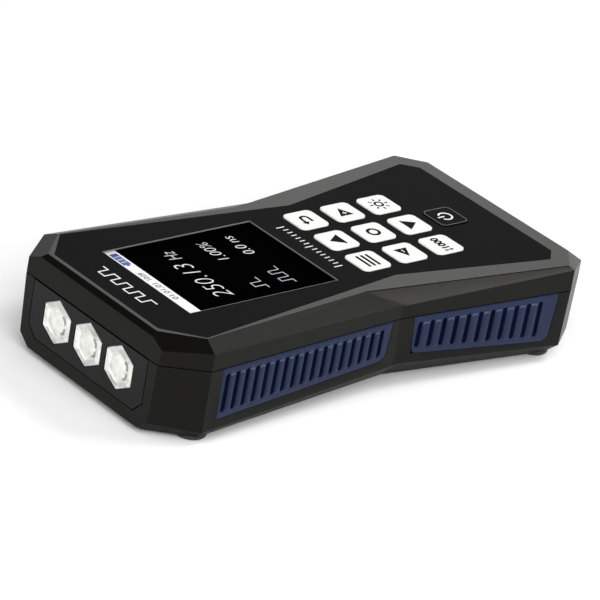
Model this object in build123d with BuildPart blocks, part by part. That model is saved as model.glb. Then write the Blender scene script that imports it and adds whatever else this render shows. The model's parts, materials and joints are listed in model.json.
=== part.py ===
"""Handheld LED stroboscope: a two-shell faceted case with a colour display, ten keys,
three LED lenses in the front end, side grips, and the parts that it needs inside.

Frame: z = 0 is the plane under the feet, +Z is up out of the display, +Y points towards
the lamp end, +X is the user's right.  The middle of the case is x = 0, y = 0.
All values are millimetres.
"""
import math
import os

from build123d import *

os.makedirs("parts", exist_ok=True)

# ---------------------------------------------------------------- driving dimensions
HALF_LENGTH = 82.5
BASE_Z = 1.2
PARTING_Z = 24.9
TOP_Z = 33.2
WALL = 2.4
CLEARANCE = 0.1
# how far a boss, a post or a lip runs into the wall that carries it
ROOT = 0.5

# Corners of the case on the user's right, from the lamp end to the rear.
TOP_FRONT = (26.5, 79.9, TOP_Z)
TOP_SHOULDER = (36.4, 68.9, TOP_Z)
TOP_WAIST = (30.8, 4.0, TOP_Z)
TOP_HIP = (41.9, -70.5, TOP_Z)
TOP_REAR = (33.6, -77.9, TOP_Z)
WALL_FRONT = (32.15, HALF_LENGTH, PARTING_Z)
WALL_SHOULDER = (41.65, 69.8, PARTING_Z)
WALL_WAIST = (37.3, -6.9, PARTING_Z)
WALL_HIP = (43.5, -71.8, PARTING_Z)
WALL_REAR = (35.6, -HALF_LENGTH, PARTING_Z)
BEVEL_SHOULDER = (41.65, 69.8, 30.7)
BEVEL_WAIST = (37.3, -6.9, 29.4)
BEVEL_HIP = (43.5, -71.8, 31.9)
SKIRT_FRONT = (31.25, HALF_LENGTH, 5.6)
SKIRT_SHOULDER = (41.2, 69.4, 4.5)
SKIRT_HIP = (43.0, -71.6, 5.9)
SKIRT_REAR = (35.2, -HALF_LENGTH, 5.9)
CHIN_FRONT = (26.8, HALF_LENGTH, 2.2)
BASE_SHOULDER = (37.8, 68.4, BASE_Z)
BASE_WAIST = (28.9, -11.1, BASE_Z)
BASE_HIP = (38.0, -71.2, BASE_Z)
BASE_REAR = (32.4, -78.4, BASE_Z)
NOSE_Y = 81.8
NOSE_Z = 32.1
CHIN_Y = 80.5
TAIL_BEVEL_Z = 29.9
TAIL_SKIRT_Z = 4.4
TAIL_BASE_Y = -79.4
FRONT_HALF_END_Y = -30.0
REAR_HALF_END_Y = 20.0
CASE_MIDDLE = Vector(0, 0, 16)
# wider and taller than the case, for blocks that its facets are cut from
BLOCK_WIDTH = 100

# Joint between the two shells: a lip inside and a shadow gap outside.
LIP_DROP = 1.5
LIP_GAP = 0.2
LIP_BACK = 1.2
LIP_RISE = 1.2
LIP_CUT_MARGIN = 3.0
LIP_CUT_LENGTH = 12.0
SEAM_GAP = 0.3
SEAM_DEPTH = 0.8

# Fine groove along the upper edge and the rear end of each rear side bevel.
CREASE_WIDTH = 0.32
CREASE_DEPTH = 0.5

# Printed film that covers the top face.
FILM_THICKNESS = 0.35
FILM_GAP = 0.05
FILM_CORNERS = [(25.4, 78.5), (35.9, 68.5), (25.5, -13.2), (36.1, -68.0), (31.4, -72.6)]

# Display.
SCREEN_WIDTH = 42.8
SCREEN_LENGTH = 57.1
SCREEN_Y = 34.9
WINDOW_BORDER = 2.5
WINDOW_THICKNESS = 0.8
WINDOW_LEDGE = 1.2
MODULE_WIDTH = 50.0
MODULE_LENGTH = 69.2
MODULE_THICKNESS = 3.0
MODULE_TOP_Z = 30.6
PANEL_GLASS_BORDER = 1.0
PANEL_GLASS_TOP_Z = 31.9
MODULE_Y = SCREEN_Y - 0.6
FRAME_WALL = 1.6
FRAME_CORNER = 1.2

# Keys: three rows of three and the power key behind them.
KEY_PITCH = 14.93
KEY_SIZE = 11.2
KEY_RADIUS = 2.0
KEY_GAP = 0.25
KEY_FIRST_ROW_Y = -11.0
KEY_PROUD = 0.3
KEY_FLANGE = 0.9
KEY_FLANGE_THICKNESS = 0.7
KEY_BOTTOM_Z = 29.9
KEY_EDGE = 0.2
KEY_NAMES = [
    ("menu", -1, 0), ("up", 0, 0), ("back", 1, 0),
    ("left", -1, 1), ("ok", 0, 1), ("right", 1, 1),
    ("scale", -1, 2), ("down", 0, 2), ("lamp", 1, 2),
    ("power", 0, 3),
]

# Boards and the keypad mat.
BOARD_THICKNESS = 1.6
MAIN_BOARD_Z = 25.4
MAIN_BOARD_INSET = 4.4
MAIN_BOARD_FRONT_Y = 72.0
MAIN_BOARD_REAR_Y = -76.0
MAT_THICKNESS = 0.8
DOME_HEIGHT = 1.5
DOME_BASE = 4.2
DOME_TIP = 3.0
MAT_CORNER = 3.0
MAT_MARGIN = 1.2
# chips under the main board as (x, y, size, height): processor, memory and two converters
CHIPS = [(8, 38, 14, 1.4), (-14, 30, 9, 1.0), (-16, 48, 7, 2.4), (20, 14, 7, 2.4)]
CAPACITOR_SPOTS = [(20, 42), (-4, 52)]
CAPACITOR_RADIUS = 5.0
CAPACITOR_LENGTH = 12.0

# Lamp end.
LAMP_PITCH = 15.2
LAMP_Z = 16.15
LENS_FLATS = 13.0
LENS_DEPTH = 10.0
LENS_HEX_DEPTH = 5.2
LENS_DISH_RADIUS = 5.1
LENS_DISH_FLOOR_RADIUS = 4.2
LENS_DISH_DEPTH = 0.9
LENS_GAP = 0.08
LENS_CONE_STEP = 0.4
LENS_CONE_TIP_RADIUS = 3.6
LENS_POCKET_RADIUS = 2.6
LENS_POCKET_DEPTH = 3.4
HEXAGON_TURN = 30
PANEL_HALF_WIDTH = 28.0
PANEL_BOTTOM_Z = 6.3
PANEL_CORNER = 3.8
PANEL_THICKNESS = 2.5
PANEL_FLANGE = 1.4
PANEL_GAP = 0.3
LED_BOARD_Y = 69.4
LED_BOARD_HALF_WIDTH = 24.0
LED_BOARD_BOTTOM_Z = 7.6
LED_BOARD_TOP_Z = 24.4
EMITTER_SIZE = 5.0
EMITTER_THICKNESS = 0.8
EMITTER_DOME_RADIUS = 1.9
EMITTER_DOME_HEIGHT = 1.6
EMITTER_DOME_TAPER = 20
HEADER_WIDTH = 12.0
SINK_BASE = 3.0
SINK_DEPTH = 12.0
SINK_FINS = 10
SINK_FIN = 1.4
SINK_FIN_MARGIN = 5.0

# Side grips, along the wall and up from the skirt, seen square on.
GRIP_THICKNESS = 1.6
GRIP_SUNK = 1.4
GRIP_GAP = 0.1
GROOVE_WIDTH = 1.7
GROOVE_DEPTH = 0.8
RIB_PROUD = 0.4
GRIP_FRAME = 2.0
# corners of each grip on the wall as (y, z), and the radii of its two lower corners
GRIPS = {
    "grip_front": [(65.2, PARTING_Z), (64.8, 8.0), (-3.2, 11.9), (-3.9, PARTING_Z)],
    "grip_rear": [(-12.1, PARTING_Z), (-13.0, 12.2), (-66.4, 8.2), (-67.3, PARTING_Z)],
}
GRIP_CORNERS = {"grip_front": (0.6, 3.2), "grip_rear": (2.0, 3.4)}
# first groove, last groove and how many there are
GROOVES = {"grip_front": (63.0, 0.3, 17), "grip_rear": (-14.6, -60.6, 11)}

# Underside.
FOOT_RADIUS = 5.0
FOOT_HEIGHT = 2.0
FOOT_BED_CUT = 3.0
FOOT_EDGE = 0.6
FEET = {
    "foot_front_right": (33.0, 66.6), "foot_front_left": (-33.0, 66.6),
    "foot_rear_right": (33.2, -70.6), "foot_rear_left": (-33.2, -70.6),
}
LABEL_SIZE = (44.0, 26.0)
LABEL_Y = -34.0
LABEL_THICKNESS = 0.25
LABEL_CORNER = 2.0
TRIPOD_Y = 24.0
TRIPOD_BORE = 5.11 / 2
TRIPOD_INSERT_RADIUS = 4.4
TRIPOD_INSERT_LENGTH = 8.6
TRIPOD_BOSS_RADIUS = 6.8
TRIPOD_BOSS_END = 1.6

# Fasteners: through screws in the case corners, small screws for the boards.
CASE_SCREWS = [(31.0, 57.0), (-31.0, 57.0), (31.0, -57.0), (-31.0, -57.0)]
BOSS_RADIUS = 4.2
UPPER_BOSS_RADIUS = 3.4
SCREW_RADIUS = 1.45
SCREW_HEAD_RADIUS = 2.75
SCREW_HEAD_HEIGHT = 2.2
SCREW_SEAT_Z = 4.6
SCREW_END_Z = 29.6
SCREW_HEAD_GAP = 0.15
SCREW_TIP_GAP = 0.4
CROSS_LENGTH = 3.2
CROSS_WIDTH = 0.7
CROSS_DEPTH = 1.2
BOARD_SCREWS = [(30.3, 30.0), (-30.3, 30.0), (27.0, -17.0), (-27.0, -17.0)]
POST_RADIUS = 2.6
SMALL_SCREW_RADIUS = 0.95
SMALL_HEAD_RADIUS = 1.9
SMALL_HEAD_HEIGHT = 1.3
SMALL_SCREW_LENGTH = 4.6
SMALL_HOLE_DEPTH = 5.0
SOCKET_SCREW_BITE = 4.0
SINK_SCREWS = [(21.5, 10.0), (-21.5, 10.0), (21.5, 22.0), (-21.5, 22.0)]

# Battery and the sockets in the rear wall.
CELL_RADIUS = 9.2
CELL_LENGTH = 65.0
CELL_Z = 13.9
CELL_Y = -30.0
TRAY_WALL = 1.4
CELL_GAP = 0.4
TRAY_SIDE_GAP = 1.2
TRAY_FLOOR = 1.0
IO_BOARD_Z = 9.0
IO_BOARD_Y = -72.2
IO_BOARD_SIZE = (46.0, 14.0)
IO_POSTS = [(20.0, -72.2), (-20.0, -72.2)]
USB_X = 11.0
USB_SIZE = (8.9, 7.4, 3.2)
USB_SUNK = 0.6
USB_OPENING_MARGIN = 0.6
USB_SKIN = 0.35
USB_BACK = 0.8
USB_TONGUE = (6.2, 0.7)
USB_TONGUE_SUNK = 1.0
JACK_X = -10.0
JACK_SIZE = (7.0, 11.5, 6.0)
JACK_BARREL_RADIUS = 3.0
JACK_BORE_RADIUS = 1.8
JACK_BORE_DEPTH = 10.0
JACK_SUNK = 0.3
JACK_GAP = 0.15
# how far a cut runs past the inner face of a wall
CUT_PAST = 0.2
LEAD_RADIUS = 0.7
LEAD_SPOTS = (4.0, -4.0)
LEAD_BEND = 2.0
LEAD_Z = 9.0
LEAD_RUN = 5.0


# ---------------------------------------------------------------- helpers
def finish(builder, name):
    """Label a finished piece and write it to its own file."""
    builder.part.label = name
    export_step(builder.part, f"parts/{name}.step")


def both_sides(corners):
    """Closed outline from the corners on the right, mirrored to the left."""
    return corners + [(-x, y) for x, y in reversed(corners)]


def facet_plane(a, b, c, inset):
    """Plane through three corners, facing the middle of the case and moved in by inset."""
    a, b, c = Vector(*a), Vector(*b), Vector(*c)
    normal = (b - a).cross(c - a).normalized()
    if normal.dot(CASE_MIDDLE - a) < 0:
        normal = normal * -1
    return Plane(origin=a + normal * inset, x_dir=b - a, z_dir=normal)


def trim_sides(a, b, c, inset):
    """Cut one facet on the right side and its mirror image on the left."""
    for side in (1, -1):
        corners = [(side * x, y, z) for x, y, z in (a, b, c)]
        split(bisect_by=facet_plane(*corners, inset), keep=Keep.TOP)


def trim_across(y_1, z_1, y_2, z_2, inset):
    """Cut one facet that runs straight across the case."""
    split(bisect_by=facet_plane((0, y_1, z_1), (1, y_1, z_1), (0, y_2, z_2), inset), keep=Keep.TOP)


def half_block(y_low, y_high, inset):
    """Plain block between the top and the base, before its facets are cut."""
    with Locations((0, (y_low + y_high) / 2, BASE_Z + inset)):
        Box(
            BLOCK_WIDTH, y_high - y_low, TOP_Z - BASE_Z - 2 * inset,
            align=(Align.CENTER, Align.CENTER, Align.MIN),
        )


def case_body(inset):
    """Outer form of the case, or its hollow when inset is the wall thickness.

    Two tapering blocks, wide at the two ends, cross at the waist.
    """
    with BuildPart() as front_half:
        half_block(FRONT_HALF_END_Y, HALF_LENGTH - inset, inset)
        trim_across(HALF_LENGTH, PARTING_Z, NOSE_Y, NOSE_Z, inset)
        trim_across(NOSE_Y, NOSE_Z, TOP_FRONT[1], TOP_Z, inset)
        trim_across(HALF_LENGTH, CHIN_FRONT[2], CHIN_Y, BASE_Z, inset)
        trim_sides(TOP_FRONT, TOP_SHOULDER, BEVEL_SHOULDER, inset)
        trim_sides(TOP_SHOULDER, TOP_WAIST, BEVEL_SHOULDER, inset)
        trim_sides(WALL_FRONT, WALL_SHOULDER, BEVEL_SHOULDER, inset)
        trim_sides(WALL_SHOULDER, WALL_WAIST, BEVEL_SHOULDER, inset)
        trim_sides(WALL_FRONT, WALL_SHOULDER, SKIRT_FRONT, inset)
        trim_sides(WALL_SHOULDER, WALL_WAIST, SKIRT_SHOULDER, inset)
        trim_sides(SKIRT_FRONT, SKIRT_SHOULDER, CHIN_FRONT, inset)
        trim_sides(SKIRT_SHOULDER, BASE_SHOULDER, BASE_WAIST, inset)
    with BuildPart() as rear_half:
        half_block(-HALF_LENGTH + inset, REAR_HALF_END_Y, inset)
        trim_across(TOP_REAR[1], TOP_Z, -HALF_LENGTH, TAIL_BEVEL_Z, inset)
        trim_across(-HALF_LENGTH, TAIL_SKIRT_Z, TAIL_BASE_Y, BASE_Z, inset)
        trim_sides(TOP_HIP, TOP_REAR, BEVEL_HIP, inset)
        trim_sides(TOP_WAIST, TOP_HIP, BEVEL_WAIST, inset)
        trim_sides(WALL_HIP, WALL_REAR, BEVEL_HIP, inset)
        trim_sides(WALL_WAIST, WALL_HIP, BEVEL_HIP, inset)
        trim_sides(WALL_HIP, WALL_REAR, SKIRT_HIP, inset)
        trim_sides(WALL_WAIST, WALL_HIP, SKIRT_HIP, inset)
        trim_sides(SKIRT_HIP, SKIRT_REAR, BASE_REAR, inset)
        trim_sides(SKIRT_HIP, BASE_HIP, BASE_WAIST, inset)
    with BuildPart() as body:
        add(front_half.part)
        add(rear_half.part)
    return body.part


def plan_outline(inset):
    """Outline of the case at the parting plane, drawn in the active sketch."""
    corners = [WALL_FRONT, WALL_SHOULDER, WALL_WAIST, WALL_HIP, WALL_REAR]
    Polygon(*both_sides([(x, y) for x, y, _ in corners]), align=None)
    offset(amount=-inset, kind=Kind.INTERSECTION, mode=Mode.REPLACE)


def key_spots():
    """Centres of the ten keys."""
    return [(column * KEY_PITCH, KEY_FIRST_ROW_Y - row * KEY_PITCH) for _, column, row in KEY_NAMES]


def lamp_spots():
    """Centres of the three lamps across the front."""
    return [(column * LAMP_PITCH, 0) for column in (-1, 0, 1)]


def lamp_plane(y):
    """Upright plane across the case: x to the left, y up, normal towards the front."""
    return Plane(origin=(0, y, LAMP_Z), x_dir=(-1, 0, 0), z_dir=(0, 1, 0))


def panel_outline(grow):
    """Outline of the lamp panel's opening with cut lower corners, drawn in the active sketch.

    It reaches the seam, and a smaller outline stays clear of the seam as well.
    """
    half_width = PANEL_HALF_WIDTH + grow
    top = PARTING_Z - LAMP_Z + min(grow, 0)
    bottom = PANEL_BOTTOM_Z - LAMP_Z - grow
    corners = [(half_width, top), (half_width, bottom + PANEL_CORNER), (half_width - PANEL_CORNER, bottom)]
    Polygon(*both_sides(corners), align=None)


def grip_plane(name, sunk):
    """Plane on the right wall under a grip: x runs along the wall, y up it, z outwards."""
    if name == "grip_front":
        wall, skirt = (WALL_WAIST, WALL_SHOULDER), SKIRT_SHOULDER
    else:
        wall, skirt = (WALL_HIP, WALL_WAIST), SKIRT_HIP
    inward = facet_plane(wall[0], wall[1], skirt, 0)
    direction = Vector(*wall[1]) - Vector(*wall[0])
    outward = inward.z_dir * -1
    return Plane(origin=Vector(*wall[0]) - outward * sunk, x_dir=direction, z_dir=outward)


def grip_outline(name, grow):
    """Outline of a grip in its wall plane, drawn in the active sketch."""
    start = (WALL_WAIST if name == "grip_front" else WALL_HIP)[1]
    points = [(y - start, z - PARTING_Z) for y, z in GRIPS[name]]
    face = Polygon(*points, align=None)
    ends = GRIP_CORNERS[name]
    lower = face.vertices().sort_by(Axis.Y)[:2].sort_by(Axis.X)
    for vertex, radius in zip(lower, reversed(ends)):
        fillet(vertex, radius=radius)
    if grow:
        offset(amount=grow, kind=Kind.INTERSECTION, mode=Mode.REPLACE)


# ---------------------------------------------------------------- case shells
case_outer = case_body(0)
case_hollow = case_body(WALL)
roof_z = TOP_Z - WALL
side_bevel = facet_plane(TOP_WAIST, TOP_HIP, BEVEL_WAIST, 0).z_dir * -1
corner_bevel = facet_plane(TOP_HIP, TOP_REAR, BEVEL_HIP, 0).z_dir * -1
film_bottom_z = TOP_Z - FILM_THICKNESS
window_bottom_z = film_bottom_z - WINDOW_THICKNESS
window_size = (SCREEN_WIDTH + 2 * WINDOW_BORDER, SCREEN_LENGTH + 2 * WINDOW_BORDER)

with BuildPart() as top_shell:
    add(case_outer)
    add(case_hollow, mode=Mode.SUBTRACT)
    split(bisect_by=Plane.XY.offset(PARTING_Z), keep=Keep.TOP)
    # locating lip that drops inside the lower shell
    with BuildSketch(Plane.XY.offset(PARTING_Z - LIP_DROP)):
        plan_outline(WALL + LIP_GAP)
        with BuildSketch(mode=Mode.SUBTRACT):
            plan_outline(WALL + LIP_BACK)
    extrude(amount=LIP_DROP)
    with BuildSketch(Plane.XY.offset(PARTING_Z)):
        plan_outline(WALL - LIP_GAP)
        with BuildSketch(mode=Mode.SUBTRACT):
            plan_outline(WALL + LIP_BACK)
    extrude(amount=LIP_RISE)
    # no lip at the front, where the flange of the lamp panel stands
    with BuildSketch(Plane.XY.offset(PARTING_Z - LIP_DROP)):
        with Locations((0, HALF_LENGTH)):
            Rectangle(2 * (PANEL_HALF_WIDTH + LIP_CUT_MARGIN), LIP_CUT_LENGTH)
    extrude(amount=LIP_DROP, mode=Mode.SUBTRACT)
    # shadow gap round the seam
    with BuildSketch(Plane.XY.offset(PARTING_Z)):
        plan_outline(-SEAM_DEPTH)
        with BuildSketch(mode=Mode.SUBTRACT):
            plan_outline(SEAM_DEPTH)
    extrude(amount=SEAM_GAP, mode=Mode.SUBTRACT)
    # grooves along the creases of the rear side bevels
    for start, end, outward in (
        (TOP_WAIST, TOP_HIP, side_bevel + Vector(0, 0, 1)),
        (TOP_HIP, BEVEL_HIP, side_bevel + corner_bevel),
    ):
        run = Vector(*end) - Vector(*start)
        with BuildSketch(Plane(origin=start, x_dir=outward, z_dir=run)):
            Rectangle(2 * CREASE_DEPTH, CREASE_WIDTH)
        slot = extrude(amount=run.length, mode=Mode.PRIVATE)
        add([slot, slot.mirror(Plane.YZ)], mode=Mode.SUBTRACT)
    # bosses for the case screws and posts for the main board
    with BuildSketch(Plane.XY.offset(PARTING_Z)):
        with Locations(*CASE_SCREWS):
            Circle(UPPER_BOSS_RADIUS)
    extrude(amount=roof_z - PARTING_Z + ROOT)
    with BuildSketch(Plane.XY.offset(MAIN_BOARD_Z + BOARD_THICKNESS)):
        with Locations(*BOARD_SCREWS):
            Circle(POST_RADIUS)
    extrude(amount=roof_z - MAIN_BOARD_Z - BOARD_THICKNESS + ROOT)
    with BuildSketch(Plane.XY.offset(PARTING_Z)):
        with Locations(*CASE_SCREWS):
            Circle(SCREW_RADIUS)
    extrude(amount=SCREW_END_Z - PARTING_Z + SCREW_TIP_GAP, mode=Mode.SUBTRACT)
    with BuildSketch(Plane.XY.offset(MAIN_BOARD_Z)):
        with Locations(*BOARD_SCREWS):
            Circle(SMALL_SCREW_RADIUS)
    extrude(amount=SMALL_HOLE_DEPTH, mode=Mode.SUBTRACT)
    # shallow bed for the film, then the display and key openings through the roof
    with BuildSketch(Plane.XY.offset(TOP_Z)):
        Polygon(*both_sides(FILM_CORNERS), align=None)
    extrude(amount=-FILM_THICKNESS, mode=Mode.SUBTRACT)
    with BuildSketch(Plane.XY.offset(window_bottom_z)):
        with Locations((0, SCREEN_Y)):
            Rectangle(window_size[0] + 2 * CLEARANCE, window_size[1] + 2 * CLEARANCE)
    extrude(amount=WINDOW_THICKNESS, mode=Mode.SUBTRACT)
    with BuildSketch(Plane.XY.offset(roof_z)):
        with Locations((0, SCREEN_Y)):
            Rectangle(window_size[0] - 2 * WINDOW_LEDGE, window_size[1] - 2 * WINDOW_LEDGE)
        with Locations(*key_spots()):
            RectangleRounded(KEY_SIZE + 2 * KEY_GAP, KEY_SIZE + 2 * KEY_GAP, KEY_RADIUS + KEY_GAP)
    extrude(amount=WALL, mode=Mode.SUBTRACT)
finish(top_shell, "top_shell")

with BuildPart() as bottom_shell:
    add(case_outer)
    add(case_hollow, mode=Mode.SUBTRACT)
    split(bisect_by=Plane.XY.offset(PARTING_Z), keep=Keep.BOTTOM)
    floor_z = BASE_Z + WALL
    # bosses for the case screws, a boss for the tripod insert, posts for the socket board
    with BuildSketch(Plane.XY.offset(floor_z - ROOT)):
        with Locations(*CASE_SCREWS):
            Circle(BOSS_RADIUS)
    extrude(amount=PARTING_Z - floor_z + ROOT)
    with BuildSketch(Plane.XY.offset(floor_z - ROOT)):
        with Locations((0, TRIPOD_Y)):
            Circle(TRIPOD_BOSS_RADIUS)
    extrude(amount=BASE_Z + TRIPOD_INSERT_LENGTH + TRIPOD_BOSS_END - floor_z + ROOT)
    with BuildSketch(Plane.XY.offset(floor_z - ROOT)):
        with Locations(*IO_POSTS):
            Circle(POST_RADIUS)
    extrude(amount=IO_BOARD_Z - floor_z + ROOT)
    with BuildSketch(Plane.XY.offset(floor_z)):
        with Locations(*IO_POSTS):
            Circle(SMALL_SCREW_RADIUS)
    extrude(amount=IO_BOARD_Z - floor_z, mode=Mode.SUBTRACT)
    with BuildSketch(Plane.XY.offset(BASE_Z)):
        with Locations(*CASE_SCREWS):
            Circle(SCREW_RADIUS + CLEARANCE)
    extrude(amount=PARTING_Z - BASE_Z, mode=Mode.SUBTRACT)
    with BuildSketch(Plane.XY.offset(BASE_Z)):
        with Locations(*CASE_SCREWS):
            Circle(SCREW_HEAD_RADIUS + SCREW_HEAD_GAP)
    extrude(amount=SCREW_SEAT_Z - BASE_Z, mode=Mode.SUBTRACT)
    with BuildSketch(Plane.XY.offset(BASE_Z)):
        with Locations((0, TRIPOD_Y)):
            Circle(TRIPOD_INSERT_RADIUS)
    extrude(amount=TRIPOD_INSERT_LENGTH, mode=Mode.SUBTRACT)
    # beds for the feet and the rating label
    with BuildSketch(Plane.XY.offset(FOOT_HEIGHT - FOOT_BED_CUT)):
        with Locations(*FEET.values()):
            Circle(FOOT_RADIUS + CLEARANCE)
    extrude(amount=FOOT_BED_CUT, mode=Mode.SUBTRACT)
    with BuildSketch(Plane.XY.offset(BASE_Z)):
        with Locations((0, LABEL_Y)):
            RectangleRounded(LABEL_SIZE[0] + 2 * CLEARANCE, LABEL_SIZE[1] + 2 * CLEARANCE, LABEL_CORNER)
    extrude(amount=LABEL_THICKNESS, mode=Mode.SUBTRACT)
    # opening for the lamp panel, from the parting plane down
    with BuildSketch(lamp_plane(HALF_LENGTH)):
        panel_outline(0)
    extrude(amount=-WALL - CUT_PAST, mode=Mode.SUBTRACT)
    # openings for the sockets in the rear wall
    io_top_z = IO_BOARD_Z + BOARD_THICKNESS
    with BuildSketch(Plane.XZ.offset(HALF_LENGTH)):
        with Locations((USB_X, io_top_z + USB_SIZE[2] / 2)):
            SlotOverall(USB_SIZE[0] + USB_OPENING_MARGIN, USB_SIZE[2] + USB_OPENING_MARGIN)
        with Locations((JACK_X, io_top_z + JACK_SIZE[2] / 2)):
            Circle(JACK_BARREL_RADIUS + JACK_GAP)
    extrude(amount=-WALL - CUT_PAST, mode=Mode.SUBTRACT)
    # pockets for the grips, open at the rim
    for grip in GRIPS:
        with BuildSketch(grip_plane(grip, GRIP_SUNK)):
            grip_outline(grip, GRIP_GAP)
        pocket = extrude(amount=2 * GRIP_SUNK, mode=Mode.PRIVATE)
        add([pocket, pocket.mirror(Plane.YZ)], mode=Mode.SUBTRACT)
finish(bottom_shell, "bottom_shell")

# ---------------------------------------------------------------- top face
with BuildPart() as fascia_film:
    with BuildSketch(Plane.XY.offset(film_bottom_z)):
        Polygon(*both_sides(FILM_CORNERS), align=None)
        offset(amount=-FILM_GAP, kind=Kind.INTERSECTION, mode=Mode.REPLACE)
        with Locations((0, SCREEN_Y)):
            Rectangle(SCREEN_WIDTH, SCREEN_LENGTH, mode=Mode.SUBTRACT)
        with Locations(*key_spots()):
            RectangleRounded(
                KEY_SIZE + 2 * KEY_GAP, KEY_SIZE + 2 * KEY_GAP, KEY_RADIUS + KEY_GAP, mode=Mode.SUBTRACT
            )
    extrude(amount=FILM_THICKNESS)
finish(fascia_film, "fascia_film")

with BuildPart() as display_window:
    with BuildSketch(Plane.XY.offset(window_bottom_z)):
        with Locations((0, SCREEN_Y)):
            Rectangle(*window_size)
    extrude(amount=WINDOW_THICKNESS)
finish(display_window, "display_window")

with BuildPart() as display_module:
    with BuildSketch(Plane.XY.offset(MODULE_TOP_Z - MODULE_THICKNESS)):
        with Locations((0, MODULE_Y)):
            Rectangle(MODULE_WIDTH, MODULE_LENGTH)
    extrude(amount=MODULE_THICKNESS)
    # the liquid-crystal glass stands up into the opening in the roof
    with BuildSketch(Plane.XY.offset(MODULE_TOP_Z)):
        with Locations((0, SCREEN_Y)):
            Rectangle(SCREEN_WIDTH + 2 * PANEL_GLASS_BORDER, SCREEN_LENGTH + 2 * PANEL_GLASS_BORDER)
    extrude(amount=PANEL_GLASS_TOP_Z - MODULE_TOP_Z)
finish(display_module, "display_module")

main_board_top_z = MAIN_BOARD_Z + BOARD_THICKNESS
with BuildPart() as display_frame:
    with BuildSketch(Plane.XY.offset(main_board_top_z)):
        with Locations((0, MODULE_Y)):
            RectangleRounded(MODULE_WIDTH + 2 * FRAME_WALL, MODULE_LENGTH + 2 * FRAME_WALL, FRAME_CORNER)
    extrude(amount=MODULE_TOP_Z - main_board_top_z)
    with BuildSketch(Plane.XY.offset(MODULE_TOP_Z - MODULE_THICKNESS)):
        with Locations((0, MODULE_Y)):
            Rectangle(MODULE_WIDTH + 2 * CLEARANCE, MODULE_LENGTH + 2 * CLEARANCE)
    extrude(amount=MODULE_THICKNESS, mode=Mode.SUBTRACT)
finish(display_frame, "display_frame")

for name, column, row in KEY_NAMES:
    centre = (column * KEY_PITCH, KEY_FIRST_ROW_Y - row * KEY_PITCH)
    with BuildPart() as key:
        with BuildSketch(Plane.XY.offset(KEY_BOTTOM_Z)):
            with Locations(centre):
                RectangleRounded(
                    KEY_SIZE + 2 * KEY_FLANGE, KEY_SIZE + 2 * KEY_FLANGE, KEY_RADIUS + KEY_FLANGE
                )
        extrude(amount=KEY_FLANGE_THICKNESS)
        with BuildSketch(Plane.XY.offset(KEY_BOTTOM_Z)):
            with Locations(centre):
                RectangleRounded(KEY_SIZE, KEY_SIZE, KEY_RADIUS)
        extrude(amount=TOP_Z + KEY_PROUD - KEY_BOTTOM_Z)
        fillet(key.faces().sort_by(Axis.Z)[-1].edges(), radius=KEY_EDGE)
    finish(key, f"key_{name}")

# ---------------------------------------------------------------- boards and keypad mat
with BuildPart() as keypad_mat:
    with BuildSketch(Plane.XY.offset(main_board_top_z)):
        with Locations((0, KEY_FIRST_ROW_Y - 1.5 * KEY_PITCH)):
            RectangleRounded(3 * KEY_PITCH, 4 * KEY_PITCH - MAT_MARGIN, MAT_CORNER)
    extrude(amount=MAT_THICKNESS)
    with Locations(*[(x, y, main_board_top_z + MAT_THICKNESS) for x, y in key_spots()]):
        Cone(DOME_BASE, DOME_TIP, DOME_HEIGHT, align=(Align.CENTER, Align.CENTER, Align.MIN))
finish(keypad_mat, "keypad_mat")

with BuildPart() as main_board:
    with BuildSketch(Plane.XY.offset(MAIN_BOARD_Z)):
        plan_outline(MAIN_BOARD_INSET)
        with Locations((0, (MAIN_BOARD_FRONT_Y + MAIN_BOARD_REAR_Y) / 2)):
            Rectangle(BLOCK_WIDTH, MAIN_BOARD_FRONT_Y - MAIN_BOARD_REAR_Y, mode=Mode.INTERSECT)
        with Locations(*CASE_SCREWS):
            Circle(UPPER_BOSS_RADIUS + LIP_GAP + CLEARANCE, mode=Mode.SUBTRACT)
        with Locations(*BOARD_SCREWS):
            Circle(SMALL_SCREW_RADIUS + CLEARANCE, mode=Mode.SUBTRACT)
    extrude(amount=BOARD_THICKNESS)
finish(main_board, "main_board")

with BuildPart() as board_chips:
    for x, y, size, height in CHIPS:
        with BuildSketch(Plane.XY.offset(MAIN_BOARD_Z - height)):
            with Locations((x, y)):
                Rectangle(size, size)
        extrude(amount=height)
finish(board_chips, "board_chips")

with BuildPart() as lamp_capacitors:
    # reservoir capacitors for the lamp pulses, hanging from the main board
    with BuildSketch(Plane.XY.offset(MAIN_BOARD_Z - CAPACITOR_LENGTH)):
        with Locations(*CAPACITOR_SPOTS):
            Circle(CAPACITOR_RADIUS)
    extrude(amount=CAPACITOR_LENGTH)
finish(lamp_capacitors, "lamp_capacitors")

with BuildPart() as board_screws:
    with BuildSketch(Plane.XY.offset(MAIN_BOARD_Z)):
        with Locations(*BOARD_SCREWS):
            Circle(SMALL_SCREW_RADIUS)
    extrude(amount=SMALL_SCREW_LENGTH)
    with BuildSketch(Plane.XY.offset(MAIN_BOARD_Z)):
        with Locations(*BOARD_SCREWS):
            Circle(SMALL_HEAD_RADIUS)
    extrude(amount=-SMALL_HEAD_HEIGHT)
finish(board_screws, "board_screws")

# ---------------------------------------------------------------- lamp end
lens_corner_radius = LENS_FLATS / 2 / math.cos(math.radians(HEXAGON_TURN))

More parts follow.
